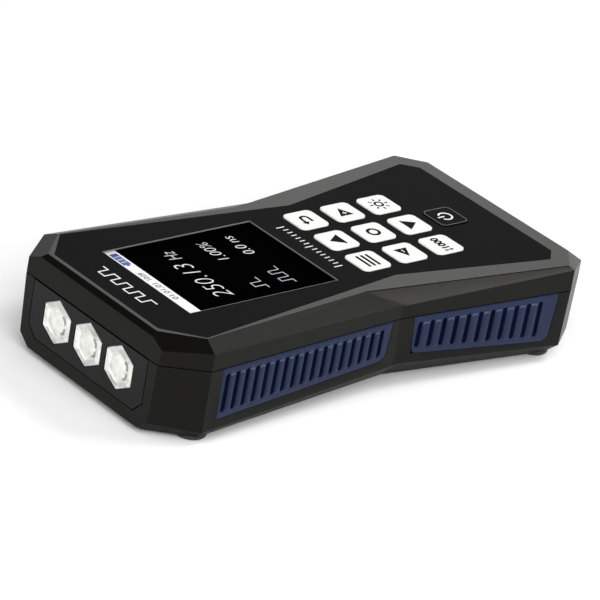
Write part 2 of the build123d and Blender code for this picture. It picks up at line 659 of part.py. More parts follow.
with BuildPart() as lamp_panel:
    with BuildSketch(lamp_plane(HALF_LENGTH - PANEL_THICKNESS)):
        panel_outline(-PANEL_GAP)
    extrude(amount=PANEL_THICKNESS)
    with BuildSketch(lamp_plane(HALF_LENGTH - PANEL_THICKNESS - PANEL_FLANGE)):
        panel_outline(PANEL_FLANGE)
    extrude(amount=PANEL_FLANGE)
    with BuildSketch(lamp_plane(HALF_LENGTH)):
        with Locations(*lamp_spots()):
            RegularPolygon(lens_corner_radius, 6, rotation=HEXAGON_TURN)
    extrude(amount=-PANEL_THICKNESS - PANEL_FLANGE, mode=Mode.SUBTRACT)
finish(lamp_panel, "lamp_panel")

for name, column in (("left", -1), ("centre", 0), ("right", 1)):
    # a moulded collimator: hexagonal face and shallow dish, cone down to the emitter
    front = Plane(origin=(column * LAMP_PITCH, HALF_LENGTH, LAMP_Z), x_dir=(-1, 0, 0), z_dir=(0, 1, 0))
    with BuildPart() as lens:
        with BuildSketch(front):
            RegularPolygon(lens_corner_radius - LENS_GAP, 6, rotation=HEXAGON_TURN)
        extrude(amount=-LENS_HEX_DEPTH)
        with BuildSketch(front.offset(-LENS_HEX_DEPTH)):
            Circle(LENS_FLATS / 2 - LENS_CONE_STEP)
        with BuildSketch(front.offset(-LENS_DEPTH)):
            Circle(LENS_CONE_TIP_RADIUS)
        loft()
        with BuildSketch(front.offset(-LENS_DISH_DEPTH)):
            RegularPolygon(LENS_DISH_FLOOR_RADIUS, 6, rotation=HEXAGON_TURN)
        with BuildSketch(front):
            RegularPolygon(LENS_DISH_RADIUS, 6, rotation=HEXAGON_TURN)
        loft(mode=Mode.SUBTRACT)
        with BuildSketch(front.offset(-LENS_DEPTH)):
            Circle(LENS_POCKET_RADIUS)
        extrude(amount=LENS_POCKET_DEPTH, mode=Mode.SUBTRACT)
    finish(lens, f"lens_{name}")

led_board_plane = lamp_plane(LED_BOARD_Y)
board_middle = (LED_BOARD_TOP_Z + LED_BOARD_BOTTOM_Z) / 2 - LAMP_Z
board_height = LED_BOARD_TOP_Z - LED_BOARD_BOTTOM_Z
sink_spots = [(x, z - LAMP_Z) for x, z in SINK_SCREWS]
fin_pitch = 2 * (LED_BOARD_HALF_WIDTH - SINK_FIN_MARGIN) / (SINK_FINS - 1)

with BuildPart() as led_board:
    with BuildSketch(led_board_plane):
        with Locations((0, board_middle)):
            Rectangle(2 * LED_BOARD_HALF_WIDTH, board_height)
        with Locations(*sink_spots):
            Circle(SMALL_SCREW_RADIUS + CLEARANCE, mode=Mode.SUBTRACT)
    extrude(amount=BOARD_THICKNESS)
finish(led_board, "led_board")

with BuildPart() as led_emitters:
    with BuildSketch(led_board_plane.offset(BOARD_THICKNESS)):
        with Locations(*lamp_spots()):
            Rectangle(EMITTER_SIZE, EMITTER_SIZE)
    extrude(amount=EMITTER_THICKNESS)
    with BuildSketch(led_board_plane.offset(BOARD_THICKNESS + EMITTER_THICKNESS)):
        with Locations(*lamp_spots()):
            Circle(EMITTER_DOME_RADIUS)
    extrude(amount=EMITTER_DOME_HEIGHT, taper=EMITTER_DOME_TAPER)
finish(led_emitters, "led_emitters")

with BuildPart() as heat_sink:
    with BuildSketch(led_board_plane):
        with Locations((0, board_middle)):
            Rectangle(2 * LED_BOARD_HALF_WIDTH, board_height)
    extrude(amount=-SINK_BASE)
    with BuildSketch(led_board_plane.offset(-SINK_BASE)):
        with Locations((0, board_middle)):
            with GridLocations(fin_pitch, 0, SINK_FINS, 1):
                Rectangle(SINK_FIN, board_height)
    extrude(amount=-(SINK_DEPTH - SINK_BASE))
    with BuildSketch(led_board_plane):
        with Locations(*sink_spots):
            Circle(SMALL_SCREW_RADIUS)
    extrude(amount=-SINK_BASE, mode=Mode.SUBTRACT)
finish(heat_sink, "heat_sink")

with BuildPart() as lamp_header:
    # pin header that joins the LED board to the main board above it
    with BuildSketch(Plane.XY.offset(LED_BOARD_TOP_Z)):
        with Locations((0, LED_BOARD_Y + BOARD_THICKNESS / 2)):
            Rectangle(HEADER_WIDTH, BOARD_THICKNESS)
    extrude(amount=MAIN_BOARD_Z - LED_BOARD_TOP_Z)
finish(lamp_header, "lamp_header")

with BuildPart() as sink_screws:
    with BuildSketch(led_board_plane.offset(BOARD_THICKNESS)):
        with Locations(*sink_spots):
            Circle(SMALL_SCREW_RADIUS)
    extrude(amount=-BOARD_THICKNESS - SINK_BASE)
    with BuildSketch(led_board_plane.offset(BOARD_THICKNESS)):
        with Locations(*sink_spots):
            Circle(SMALL_HEAD_RADIUS)
    extrude(amount=SMALL_HEAD_HEIGHT)
finish(sink_screws, "sink_screws")

# ---------------------------------------------------------------- grips, feet and underside
for grip, corners in GRIPS.items():
    start = (WALL_WAIST if grip == "grip_front" else WALL_HIP)[1]
    with BuildPart() as right_grip:
        with BuildSketch(grip_plane(grip, GRIP_SUNK)):
            grip_outline(grip, 0)
        extrude(amount=GRIP_THICKNESS)
        # upright grooves, as tall as the outline lets them be, with raised ribs between them
        _, (low_front_y, low_front_z), (low_rear_y, low_rear_z), _ = corners
        first, last, grooves = GROOVES[grip]
        slope = (low_front_z - low_rear_z) / (low_front_y - low_rear_y)
        pitch = (first - last) / (grooves - 1)
        outer_face = grip_plane(grip, GRIP_SUNK - GRIP_THICKNESS)
        for count, width, depth, mode in (
            (grooves, GROOVE_WIDTH, -GROOVE_DEPTH, Mode.SUBTRACT),
            (grooves - 1, pitch - GROOVE_WIDTH, RIB_PROUD, Mode.ADD),
        ):
            with BuildSketch(outer_face):
                for index in range(count):
                    y = first - pitch * (index + (grooves - count) / 2)
                    bottom = low_rear_z + slope * (y - low_rear_y) + GRIP_FRAME
                    height = PARTING_Z - GRIP_FRAME - bottom
                    with Locations((y - start, (bottom + height / 2) - PARTING_Z)):
                        SlotOverall(height, width, rotation=90)
            extrude(amount=depth, mode=mode)
        split(bisect_by=Plane.XY.offset(PARTING_Z - GRIP_GAP), keep=Keep.BOTTOM)
    finish(right_grip, f"{grip}_right")
    with BuildPart() as left_grip:
        mirror(right_grip.part, about=Plane.YZ)
    finish(left_grip, f"{grip}_left")

for name, spot in FEET.items():
    with BuildPart() as foot:
        with BuildSketch():
            with Locations(spot):
                Circle(FOOT_RADIUS)
        extrude(amount=FOOT_HEIGHT)
        fillet(foot.edges().group_by(Axis.Z)[0], radius=FOOT_EDGE)
    finish(foot, name)

with BuildPart() as rating_label:
    with BuildSketch(Plane.XY.offset(BASE_Z)):
        with Locations((0, LABEL_Y)):
            RectangleRounded(*LABEL_SIZE, LABEL_CORNER)
    extrude(amount=LABEL_THICKNESS)
finish(rating_label, "rating_label")

with BuildPart() as tripod_insert:
    with BuildSketch(Plane.XY.offset(BASE_Z)):
        with Locations((0, TRIPOD_Y)):
            Circle(TRIPOD_INSERT_RADIUS)
            Circle(TRIPOD_BORE, mode=Mode.SUBTRACT)
    extrude(amount=TRIPOD_INSERT_LENGTH)
finish(tripod_insert, "tripod_insert")

with BuildPart() as case_screws:
    with BuildSketch(Plane.XY.offset(SCREW_SEAT_Z)):
        with Locations(*CASE_SCREWS):
            Circle(SCREW_RADIUS)
    extrude(amount=SCREW_END_Z - SCREW_SEAT_Z)
    with BuildSketch(Plane.XY.offset(SCREW_SEAT_Z - SCREW_HEAD_HEIGHT)):
        with Locations(*CASE_SCREWS):
            Circle(SCREW_HEAD_RADIUS)
    extrude(amount=SCREW_HEAD_HEIGHT)
    # cross recess in each head
    with BuildSketch(Plane.XY.offset(SCREW_SEAT_Z - SCREW_HEAD_HEIGHT)):
        with Locations(*CASE_SCREWS):
            Rectangle(CROSS_LENGTH, CROSS_WIDTH)
            Rectangle(CROSS_WIDTH, CROSS_LENGTH)
    extrude(amount=CROSS_DEPTH, mode=Mode.SUBTRACT)
finish(case_screws, "case_screws")

# ---------------------------------------------------------------- battery and sockets
cell_spots = [(side * (CELL_RADIUS + CELL_GAP / 2), 0) for side in (1, -1)]
cell_plane = Plane(origin=(0, CELL_Y - CELL_LENGTH / 2, CELL_Z), x_dir=(-1, 0, 0), z_dir=(0, 1, 0))

with BuildPart() as battery_cells:
    with BuildSketch(cell_plane):
        with Locations(*cell_spots):
            Circle(CELL_RADIUS)
    extrude(amount=CELL_LENGTH)
finish(battery_cells, "battery_cells")

with BuildPart() as battery_tray:
    tray_length = CELL_LENGTH + 2 * TRAY_WALL + CELL_GAP
    tray_width = 4 * CELL_RADIUS + 2 * TRAY_WALL + TRAY_SIDE_GAP
    tray_bottom_z = CELL_Z - CELL_RADIUS - TRAY_FLOOR
    with BuildSketch(Plane.XY.offset(tray_bottom_z)):
        with Locations((0, CELL_Y)):
            Rectangle(tray_width, tray_length)
    extrude(amount=CELL_Z - tray_bottom_z)
    with BuildSketch(cell_plane.offset(-CELL_GAP / 2)):
        with Locations(*cell_spots):
            Circle(CELL_RADIUS + CLEARANCE)
    extrude(amount=CELL_LENGTH + CELL_GAP, mode=Mode.SUBTRACT)
finish(battery_tray, "battery_tray")

with BuildPart() as battery_leads:
    lead_start_y = CELL_Y + tray_length / 2
    for x in LEAD_SPOTS:
        with BuildLine() as route:
            FilletPolyline(
                (x, lead_start_y, LEAD_Z),
                (x, lead_start_y + LEAD_RUN, LEAD_Z),
                (x, lead_start_y + LEAD_RUN, MAIN_BOARD_Z),
                radius=LEAD_BEND,
            )
        with BuildSketch(Plane.XZ.offset(-lead_start_y)):
            with Locations((x, LEAD_Z)):
                Circle(LEAD_RADIUS)
        sweep(path=route.line)
finish(battery_leads, "battery_leads")

with BuildPart() as socket_board:
    with BuildSketch(Plane.XY.offset(IO_BOARD_Z)):
        with Locations((0, IO_BOARD_Y)):
            Rectangle(*IO_BOARD_SIZE)
        with Locations(*IO_POSTS):
            Circle(SMALL_SCREW_RADIUS + CLEARANCE, mode=Mode.SUBTRACT)
    extrude(amount=BOARD_THICKNESS)
finish(socket_board, "socket_board")

with BuildPart() as socket_screws:
    with BuildSketch(Plane.XY.offset(io_top_z)):
        with Locations(*IO_POSTS):
            Circle(SMALL_SCREW_RADIUS)
    extrude(amount=-BOARD_THICKNESS - SOCKET_SCREW_BITE)
    with BuildSketch(Plane.XY.offset(io_top_z)):
        with Locations(*IO_POSTS):
            Circle(SMALL_HEAD_RADIUS)
    extrude(amount=SMALL_HEAD_HEIGHT)
finish(socket_screws, "socket_screws")

with BuildPart() as usb_socket:
    usb_face = Plane(
        origin=(USB_X, -HALF_LENGTH + USB_SUNK, io_top_z + USB_SIZE[2] / 2), x_dir=(1, 0, 0), z_dir=(0, -1, 0)
    )
    with BuildSketch(usb_face):
        SlotOverall(USB_SIZE[0], USB_SIZE[2])
        SlotOverall(USB_SIZE[0] - 2 * USB_SKIN, USB_SIZE[2] - 2 * USB_SKIN, mode=Mode.SUBTRACT)
    extrude(amount=-USB_SIZE[1])
    # back wall and contact tongue
    with BuildSketch(usb_face.offset(-USB_SIZE[1] + USB_BACK)):
        SlotOverall(USB_SIZE[0], USB_SIZE[2])
    extrude(amount=-USB_BACK)
    with BuildSketch(usb_face.offset(-USB_TONGUE_SUNK)):
        Rectangle(*USB_TONGUE)
    extrude(amount=-USB_SIZE[1] + USB_TONGUE_SUNK)
finish(usb_socket, "usb_socket")

with BuildPart() as trigger_jack:
    jack_face = Plane(
        origin=(JACK_X, -HALF_LENGTH + JACK_SUNK, io_top_z + JACK_SIZE[2] / 2),
        x_dir=(1, 0, 0),
        z_dir=(0, -1, 0),
    )
    with BuildSketch(jack_face):
        Circle(JACK_BARREL_RADIUS)
    extrude(amount=-WALL)
    with BuildSketch(jack_face.offset(-WALL)):
        Rectangle(JACK_SIZE[0], JACK_SIZE[2])
    extrude(amount=-JACK_SIZE[1])
    with BuildSketch(jack_face):
        Circle(JACK_BORE_RADIUS)
    extrude(amount=-JACK_BORE_DEPTH, mode=Mode.SUBTRACT)
finish(trigger_jack, "trigger_jack")
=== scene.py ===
"""Looks of a handheld LED stroboscope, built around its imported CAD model."""

import json
import math

import bmesh
import bpy
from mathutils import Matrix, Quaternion, Vector
from mathutils.bvhtree import BVHTree


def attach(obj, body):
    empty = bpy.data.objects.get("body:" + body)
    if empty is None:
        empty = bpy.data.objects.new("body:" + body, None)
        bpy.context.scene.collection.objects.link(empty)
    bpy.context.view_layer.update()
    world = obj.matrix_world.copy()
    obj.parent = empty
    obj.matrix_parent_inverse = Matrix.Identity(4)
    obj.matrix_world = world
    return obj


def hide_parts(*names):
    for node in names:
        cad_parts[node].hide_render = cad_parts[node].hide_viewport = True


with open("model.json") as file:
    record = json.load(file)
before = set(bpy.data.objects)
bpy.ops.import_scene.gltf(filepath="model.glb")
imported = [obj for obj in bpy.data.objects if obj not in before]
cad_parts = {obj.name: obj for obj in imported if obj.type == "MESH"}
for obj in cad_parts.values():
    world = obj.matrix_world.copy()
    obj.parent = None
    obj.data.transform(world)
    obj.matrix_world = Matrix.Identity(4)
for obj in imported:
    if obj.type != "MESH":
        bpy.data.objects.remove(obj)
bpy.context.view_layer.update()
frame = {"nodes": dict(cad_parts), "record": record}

MM = 0.001


# ---------------------------------------------------------------- camera and studio
AZIMUTH = math.radians(226.11)
ELEVATION = math.radians(25.75)
ROLL = math.radians(9.88)
DISTANCE = 1.33237
FOCAL_LENGTH = 261.2
SENSOR = 36.0
TARGET = Vector((0, 0, 14.9 * MM))
LIGHT_TARGET = Vector((0, 0, 0.015))
# name, place and side in metres, power in watts
LIGHTS = (
    ("key_light", (-0.30, 0.85, 0.85), 1.10, 9.0),
    ("rear_light", (0.75, -0.72, 0.50), 0.45, 1.85),
    ("side_light", (-0.37, -0.57, 0.86), 0.38, 4.8),
    ("edge_light", (0.05, -0.70, 0.83), 0.34, 1.2),
    ("corner_light", (0.42, -1.00, 0.20), 0.30, 0.6),
    ("front_light", (-1.00, 0.35, 0.62), 1.00, 14.0),
)
# strength of the surround near the horizon and overhead, and where its fall starts and ends
SURROUND_LOW, SURROUND_OVERHEAD = 0.75, 0.08
SURROUND_FROM, SURROUND_TO = 0.12, 0.5
FLOOR_REACH = 3.0
FLOOR_Z = -0.0002


def place_camera():
    """Long lens from the front left, a little above, tilted about its own axis."""
    back = Vector((
        math.sin(AZIMUTH) * math.cos(ELEVATION),
        -math.cos(AZIMUTH) * math.cos(ELEVATION),
        math.sin(ELEVATION),
    ))
    camera = bpy.data.objects.new("camera", bpy.data.cameras.new("camera"))
    bpy.context.collection.objects.link(camera)
    camera.location = TARGET + DISTANCE * back
    camera.rotation_mode = "QUATERNION"
    level = (-back).to_track_quat("-Z", "Y")
    camera.rotation_quaternion = level @ Quaternion((0, 0, 1), ROLL)
    camera.data.lens = FOCAL_LENGTH
    camera.data.sensor_width = SENSOR
    bpy.context.scene.camera = camera


def area_light(name, place, size, power):
    """Soft square light that points at the object."""
    data = bpy.data.lights.new(name, "AREA")
    data.shape = "SQUARE"
    data.size = size
    data.energy = power
    light = bpy.data.objects.new(name, data)
    bpy.context.collection.objects.link(light)
    light.location = place
    light.rotation_euler = (Vector(place) - LIGHT_TARGET).to_track_quat("Z", "Y").to_euler()


def light_studio():
    """Pale surround that darkens overhead, and soft lights round the object."""
    world = bpy.data.worlds.new("studio")
    world.use_nodes = True
    tree = world.node_tree
    background = tree.nodes["Background"]
    background.inputs["Color"].default_value = (1, 1, 1, 1)
    direction = tree.nodes.new("ShaderNodeTexCoord")
    height = tree.nodes.new("ShaderNodeSeparateXYZ")
    tree.links.new(direction.outputs["Generated"], height.inputs["Vector"])
    strength = spread(
        tree, height.outputs["Z"], SURROUND_LOW, SURROUND_OVERHEAD, SURROUND_FROM, SURROUND_TO
    )
    tree.links.new(strength, background.inputs["Strength"])
    bpy.context.scene.world = world
    for light in LIGHTS:
        area_light(*light)
    bpy.context.scene.view_settings.view_transform = "Standard"


def lay_floor():
    """Plain pale floor, just under the feet."""
    shape = bmesh.new()
    bmesh.ops.create_grid(shape, x_segments=1, y_segments=1, size=FLOOR_REACH)
    mesh = bpy.data.meshes.new("floor")
    shape.to_mesh(mesh)
    shape.free()
    floor = bpy.data.objects.new("floor", mesh)
    bpy.context.collection.objects.link(floor)
    floor.location.z = FLOOR_Z
    mesh.materials.append(MATERIALS["floor"])


# ---------------------------------------------------------------- materials
# values between which most of a noise lies
NOISE_LOW, NOISE_HIGH = 0.3, 0.7
# noise scales are per metre
TONE_SCALE = 60
GLOSS_SCALE = 900
GLOSS_CHANGE = 0.05
INK_SCALE = 900
INK_CHANGE = 0.06
INK_ROUGHNESS = 0.45
BRUSH_STRETCH = (4000, 4000, 300)
BRUSH_DEPTH = 0.004


def shader(name, colour, roughness, specular=0.5, **sockets):
    """Material with a plain shader; returns it with its node tree and shader node."""
    made = bpy.data.materials.new(name)
    made.use_nodes = True
    tree = made.node_tree
    surface = tree.nodes["Principled BSDF"]
    surface.inputs["Base Color"].default_value = (*colour, 1)
    surface.inputs["Roughness"].default_value = roughness
    surface.inputs["Specular IOR Level"].default_value = specular
    for socket, value in sockets.items():
        surface.inputs[socket.replace("_", " ")].default_value = value
    return made, tree, surface


def noise(tree, scale, detail=2.0, distortion=0.0):
    """Noise in the object's own metres."""
    place = tree.nodes.new("ShaderNodeTexCoord")
    texture = tree.nodes.new("ShaderNodeTexNoise")
    texture.inputs["Scale"].default_value = scale
    texture.inputs["Detail"].default_value = detail
    texture.inputs["Distortion"].default_value = distortion
    tree.links.new(place.outputs["Object"], texture.inputs["Vector"])
    return texture.outputs["Fac"]


def spread(tree, value, low, high, start=NOISE_LOW, end=NOISE_HIGH):
    """Map a pattern to a range of numbers."""
    node = tree.nodes.new("ShaderNodeMapRange")
    node.inputs["From Min"].default_value = start
    node.inputs["From Max"].default_value = end
    node.inputs["To Min"].default_value = low
    node.inputs["To Max"].default_value = high
    tree.links.new(value, node.inputs["Value"])
    return node.outputs["Result"]


def blend_colours(tree, value, first, second):
    """Colour ramp between two colours."""
    node = tree.nodes.new("ShaderNodeValToRGB")
    ends = ((NOISE_LOW, first), (NOISE_HIGH, second))
    for element, (position, colour) in zip(node.color_ramp.elements, ends):
        element.position = position
        element.color = (*colour, 1)
    tree.links.new(value, node.inputs["Fac"])
    return node.outputs["Color"]


def bump(tree, surface, value, depth, strength=1.0):
    """Fine relief from a pattern; its depth is in metres."""
    node = tree.nodes.new("ShaderNodeBump")
    node.inputs["Distance"].default_value = depth
    node.inputs["Strength"].default_value = strength
    tree.links.new(value, node.inputs["Height"])
    tree.links.new(node.outputs["Normal"], surface.inputs["Normal"])


def tones(colour, change):
    """A darker and a lighter tone of a colour."""
    darker = [channel * (1 - change) for channel in colour]
    lighter = [min(1, channel * (1 + change)) for channel in colour]
    return darker, lighter


def textured(name, colour, roughness, grain, depth, specular=0.5, variation=0.25, **sockets):
    """Moulded surface: fine grain (depth in mm), slight tone variation and uneven gloss."""
    made, tree, surface = shader(name, colour, roughness, specular, **sockets)
    tone = blend_colours(tree, noise(tree, TONE_SCALE, 3), *tones(colour, variation))
    tree.links.new(tone, surface.inputs["Base Color"])
    gloss = spread(
        tree, noise(tree, GLOSS_SCALE, 4),
        roughness * (1 - GLOSS_CHANGE), roughness * (1 + GLOSS_CHANGE),
    )
    tree.links.new(gloss, surface.inputs["Roughness"])
    bump(tree, surface, noise(tree, grain, 3), depth * MM)
    return made


def brushed(name, colour, roughness):
    """Metal with fine lines along one direction."""
    made, tree, surface = shader(name, colour, roughness, Metallic=1.0)
    place = tree.nodes.new("ShaderNodeTexCoord")
    stretch = tree.nodes.new("ShaderNodeMapping")
    stretch.inputs["Scale"].default_value = BRUSH_STRETCH
    lines = tree.nodes.new("ShaderNodeTexNoise")
    lines.inputs["Scale"].default_value = 1.0
    tree.links.new(place.outputs["Object"], stretch.inputs["Vector"])
    tree.links.new(stretch.outputs["Vector"], lines.inputs["Vector"])
    gloss = spread(tree, lines.outputs["Fac"], roughness * 0.8, roughness * 1.3)
    tree.links.new(gloss, surface.inputs["Roughness"])
    bump(tree, surface, lines.outputs["Fac"], BRUSH_DEPTH * MM)
    return made


def printed(name, colour, glow=0.0, **sockets):
    """Ink or a lit screen element, with a faint unevenness in the ink."""
    made, tree, surface = shader(name, colour, INK_ROUGHNESS, **sockets)
    tone = blend_colours(tree, noise(tree, INK_SCALE, 2), *tones(colour, INK_CHANGE))
    tree.links.new(tone, surface.inputs["Base Color"])
    if glow:
        surface.inputs["Emission Color"].default_value = (*colour, 1)
        surface.inputs["Emission Strength"].default_value = glow
    return made


def clear_window(name, colour, low, high):
    """Anti-glare acrylic over the screen, clear enough to read the picture under it."""
    made, tree, surface = shader(name, colour, (low + high) / 2, 0.0, Alpha=0.05)
    tree.links.new(spread(tree, noise(tree, 1200, 2), low, high), surface.inputs["Roughness"])
    return made


def frosted_lens(name, dark, light):
    """Clear acrylic that scatters inside: bright and milky, with soft facets."""
    made, tree, surface = shader(
        name, light, 0.16, Subsurface_Weight=0.35, Subsurface_Radius=(1, 1, 1),
        Subsurface_Scale=0.8 * MM, IOR=1.49,
    )
    tone = blend_colours(tree, noise(tree, 420, 4, 0.6), dark, light)
    tree.links.new(tone, surface.inputs["Base Color"])
    bump(tree, surface, noise(tree, 500, 3, 0.4), 0.05 * MM, 0.6)
    return made


CASE_BLACK = (0.0020, 0.0019, 0.0017)
FILM_BLACK = (0.0031, 0.0031, 0.0033)
WARM_GLOSS = (1.0, 0.99, 0.92, 1.0)
# how it is made, name, colour, what the maker takes next, and the settings that differ
FINISHES = (
    # roughness, grain and depth of the grain in mm
    (textured, "case_plastic", CASE_BLACK, 0.34, 2600, 0.010,
     {"IOR": 1.22, "Specular_Tint": WARM_GLOSS}),
    # painted shade for faces that lean down: the case black with a weaker reflection
    (textured, "case_under", CASE_BLACK, 0.45, 2600, 0.010, {"IOR": 1.12}),
    (textured, "lamp_panel", (0.0020, 0.0019, 0.0018), 0.40, 2600, 0.010, {"IOR": 1.27}),
    (textured, "film", FILM_BLACK, 0.45, 5000, 0.002, {"variation": 0.06, "IOR": 1.05}),
    (textured, "moulding", (0.03, 0.03, 0.03), 0.50, 2600, 0.01, {}),
    (textured, "key_white", (0.70, 0.70, 0.69), 0.42, 3200, 0.004,
     {"specular": 0.35, "variation": 0.02}),
    (textured, "key_dark", FILM_BLACK, 0.45, 3200, 0.004, {"variation": 0.06, "IOR": 1.05}),
    (textured, "mat", (0.40, 0.40, 0.40), 0.60, 1500, 0.01, {}),
    (textured, "board", (0.015, 0.10, 0.045), 0.35, 700, 0.02, {}),
    (textured, "chip", (0.02, 0.02, 0.02), 0.55, 2500, 0.01, {}),
    (textured, "emitter", (0.80, 0.68, 0.22), 0.35, 1500, 0.01, {}),
    (textured, "grip", (0.011, 0.017, 0.044), 0.45, 1900, 0.010, {"variation": 0.12, "IOR": 1.21}),
    # paler, glossier copy of the grip: a painted highlight on the round upper ends of the ribs
    (textured, "rib_tip", (0.030, 0.045, 0.090), 0.35, 1900, 0.010,
     {"variation": 0.12, "IOR": 1.35}),
    # darker copy of the grip: painted shade in the grooves
    (textured, "groove", (0.002, 0.003, 0.014), 0.70, 1900, 0.010, {"IOR": 1.1}),
    (textured, "foot", (0.018, 0.018, 0.018), 0.65, 1500, 0.02, {"specular": 0.3}),
    (textured, "label", (0.50, 0.50, 0.51), 0.35, 2200, 0.004, {"variation": 0.05}),
    (textured, "cell_wrap", (0.03, 0.12, 0.30), 0.25, 900, 0.01, {}),
    (textured, "lead", (0.30, 0.02, 0.02), 0.45, 1200, 0.01, {}),
    (textured, "jack", (0.02, 0.02, 0.02), 0.30, 2500, 0.004, {}),
    (textured, "floor", (0.92, 0.92, 0.92), 0.9, 400, 0.01, {"specular": 0.1, "variation": 0.01}),
    # roughness
    (brushed, "capacitor", (0.55, 0.55, 0.57), 0.30, {}),
    (brushed, "steel", (0.55, 0.55, 0.56), 0.32, {}),
    (brushed, "led_core", (0.70, 0.70, 0.70), 0.38, {}),
    (brushed, "brass", (0.75, 0.58, 0.28), 0.28, {}),
    # nothing more
    (printed, "display", (0.0002, 0.0002, 0.0003), {"IOR": 1.01}),
    (printed, "film_edge", (0.14, 0.14, 0.14), {"IOR": 1.3}),
    (printed, "ink_white", (0.78, 0.78, 0.77), {"IOR": 1.3}),
    (printed, "ink_grey", (0.16, 0.16, 0.16), {"IOR": 1.1}),
    (printed, "ink_black", (0.004, 0.004, 0.004), {"IOR": 1.05}),
    (printed, "screen_white", (0.62, 0.62, 0.62), {"glow": 0.55}),
    (printed, "screen_line", (0.48, 0.52, 0.56), {"glow": 0.35}),
    (printed, "screen_blue", (0.026, 0.060, 0.24), {"glow": 0.3}),
    (printed, "screen_dark", (0.11, 0.13, 0.17), {"glow": 0.1}),
    # lowest and highest roughness
    (clear_window, "window", (0.001, 0.001, 0.001), 0.35, 0.45, {}),
    # the lighter colour
    (frosted_lens, "lens", (0.56, 0.57, 0.53), (0.80, 0.80, 0.75), {}),
    # greyer and dark copies of the lens: painted shade on its side, rim and channel
    (frosted_lens, "lens_shade", (0.36, 0.36, 0.35), (0.62, 0.61, 0.60), {}),
    (frosted_lens, "lens_wall", (0.38, 0.39, 0.37), (0.58, 0.58, 0.55), {}),
    (frosted_lens, "lens_arc", (0.10, 0.10, 0.10), (0.42, 0.42, 0.40), {}),
)
MATERIALS = {name: made_by(name, *rest, **more) for made_by, name, *rest, more in FINISHES}


# ---------------------------------------------------------------- mesh helpers
WELD_DISTANCE = 0.002
FLAT_ANGLE = 1.0
SMOOTH_ANGLE = 38
LARGE_FACE_WEIGHT = 90


def piece(name, shape, body, slot_name, *materials):
    """Turn a bmesh into a piece that rides on a body."""
    mesh = bpy.data.meshes.new(name)
    shape.normal_update()
    shape.to_mesh(mesh)
    shape.free()
    made = bpy.data.objects.new(name, mesh)
    bpy.context.collection.objects.link(made)
    for material in materials:
        mesh.materials.append(MATERIALS[material])
    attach(made, body)
    return made


def welded(node):
    """The node's own shape with its triangles joined back into flat faces."""
    shape = bmesh.new()
    shape.from_mesh(frame["nodes"][node].data)
    bmesh.ops.remove_doubles(shape, verts=shape.verts, dist=WELD_DISTANCE * MM)
    bmesh.ops.dissolve_limit(
        shape, angle_limit=math.radians(FLAT_ANGLE), verts=shape.verts, edges=shape.edges
    )
    return shape


def rounded(shape, edges, width):
    """Round the given edges."""
    bmesh.ops.bevel(
        shape, geom=edges, offset=width * MM, offset_type="OFFSET", segments=3,
        profile=0.5, affect="EDGES", clamp_overlap=True, loop_slide=True,
    )


def turns(edge, degrees):
    """True where an edge joins two faces at more than an angle."""
    return len(edge.link_faces) == 2 and edge.calc_face_angle(0) > math.radians(degrees)


def flat_shaded_strips(made):
    """Keep big faces flat and let the rounded strips between them turn smoothly."""
    for face in made.data.polygons:
        face.use_smooth = True
    made.data.set_sharp_from_angle(angle=math.radians(SMOOTH_ANGLE))
    weighted = made.modifiers.new("weighted_normals", "WEIGHTED_NORMAL")
    weighted.weight = LARGE_FACE_WEIGHT
    weighted.keep_sharp = True


def carry_over():
    """Give every CAD node that stays the finish of its slot."""
    slots = {row["node"]: row["material_slot"] for row in frame["record"]["subparts"]}
    for node, shown in frame["nodes"].items():
        finish = "lamp_panel" if node == "lamp_panel" else slots[node]
        for place in shown.material_slots:
            place.material = MATERIALS[finish]


# ---------------------------------------------------------------- case
PARTING_Z = 24.9
HULL_ROUNDING = 0.35
# outer faces have at least this area, in square mm, and nothing of the case in front of them
LARGE_FACE = 25
HULL_ANGLE = 8
PROBE_START = 0.05
PROBE_LENGTH = 300
SHORT_EDGE = 0.8
# faces that lean down by more than this take painted shade: the same black with a weaker, rougher
# reflection
PAINTED_SHADE_TILT = 0.15
CASE_FINISHES = ("case_plastic", "case_under")


def hull_edges(shape, walls):
    """Edges between the large outer faces."""
    widest = {}
    for loops in shape.calc_loop_triangles():
        corners = [loop.vert.co for loop in loops]
        area = (corners[1] - corners[0]).cross(corners[2] - corners[0]).length
        if area > widest.get(loops[0].face, (0, None))[0]:
            widest[loops[0].face] = (area, sum(corners, Vector()) / 3)
    outer = {
        face for face, (_, middle) in widest.items()
        if face.calc_area() > LARGE_FACE * MM ** 2
        and walls.ray_cast(
            middle + face.normal * PROBE_START * MM, face.normal, PROBE_LENGTH * MM
        )[0] is None
    }
    return [
        edge for edge in shape.edges
        if turns(edge, HULL_ANGLE) and all(face in outer for face in edge.link_faces)
    ]


def build_case():
    """Both shells with rounded outer corners."""
    both = bmesh.new()
    for node in ("top_shell", "bottom_shell"):
        both.from_mesh(frame["nodes"][node].data)
    walls = BVHTree.FromBMesh(both)
    both.free()
    for name, node in (("upper_case", "top_shell"), ("lower_case", "bottom_shell")):
        shape = welded(node)
        for edge in hull_edges(shape, walls):
            if edge.is_valid and edge.calc_length() < SHORT_EDGE * MM:
                middle = (edge.verts[0].co + edge.verts[1].co) / 2
                bmesh.ops.pointmerge(shape, verts=edge.verts[:], merge_co=middle)
        rounded(shape, hull_edges(shape, walls), HULL_ROUNDING)
        shape.normal_update()
        # faces that lean down take the painted-shade finish
        for face in shape.faces:
            under = face.normal.z < -PAINTED_SHADE_TILT
            face.material_index = CASE_FINISHES.index("case_under" if under else "case_plastic")
        made = piece(name, shape, "case", "case_plastic", *CASE_FINISHES)
        flat_shaded_strips(made)
        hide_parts(node)


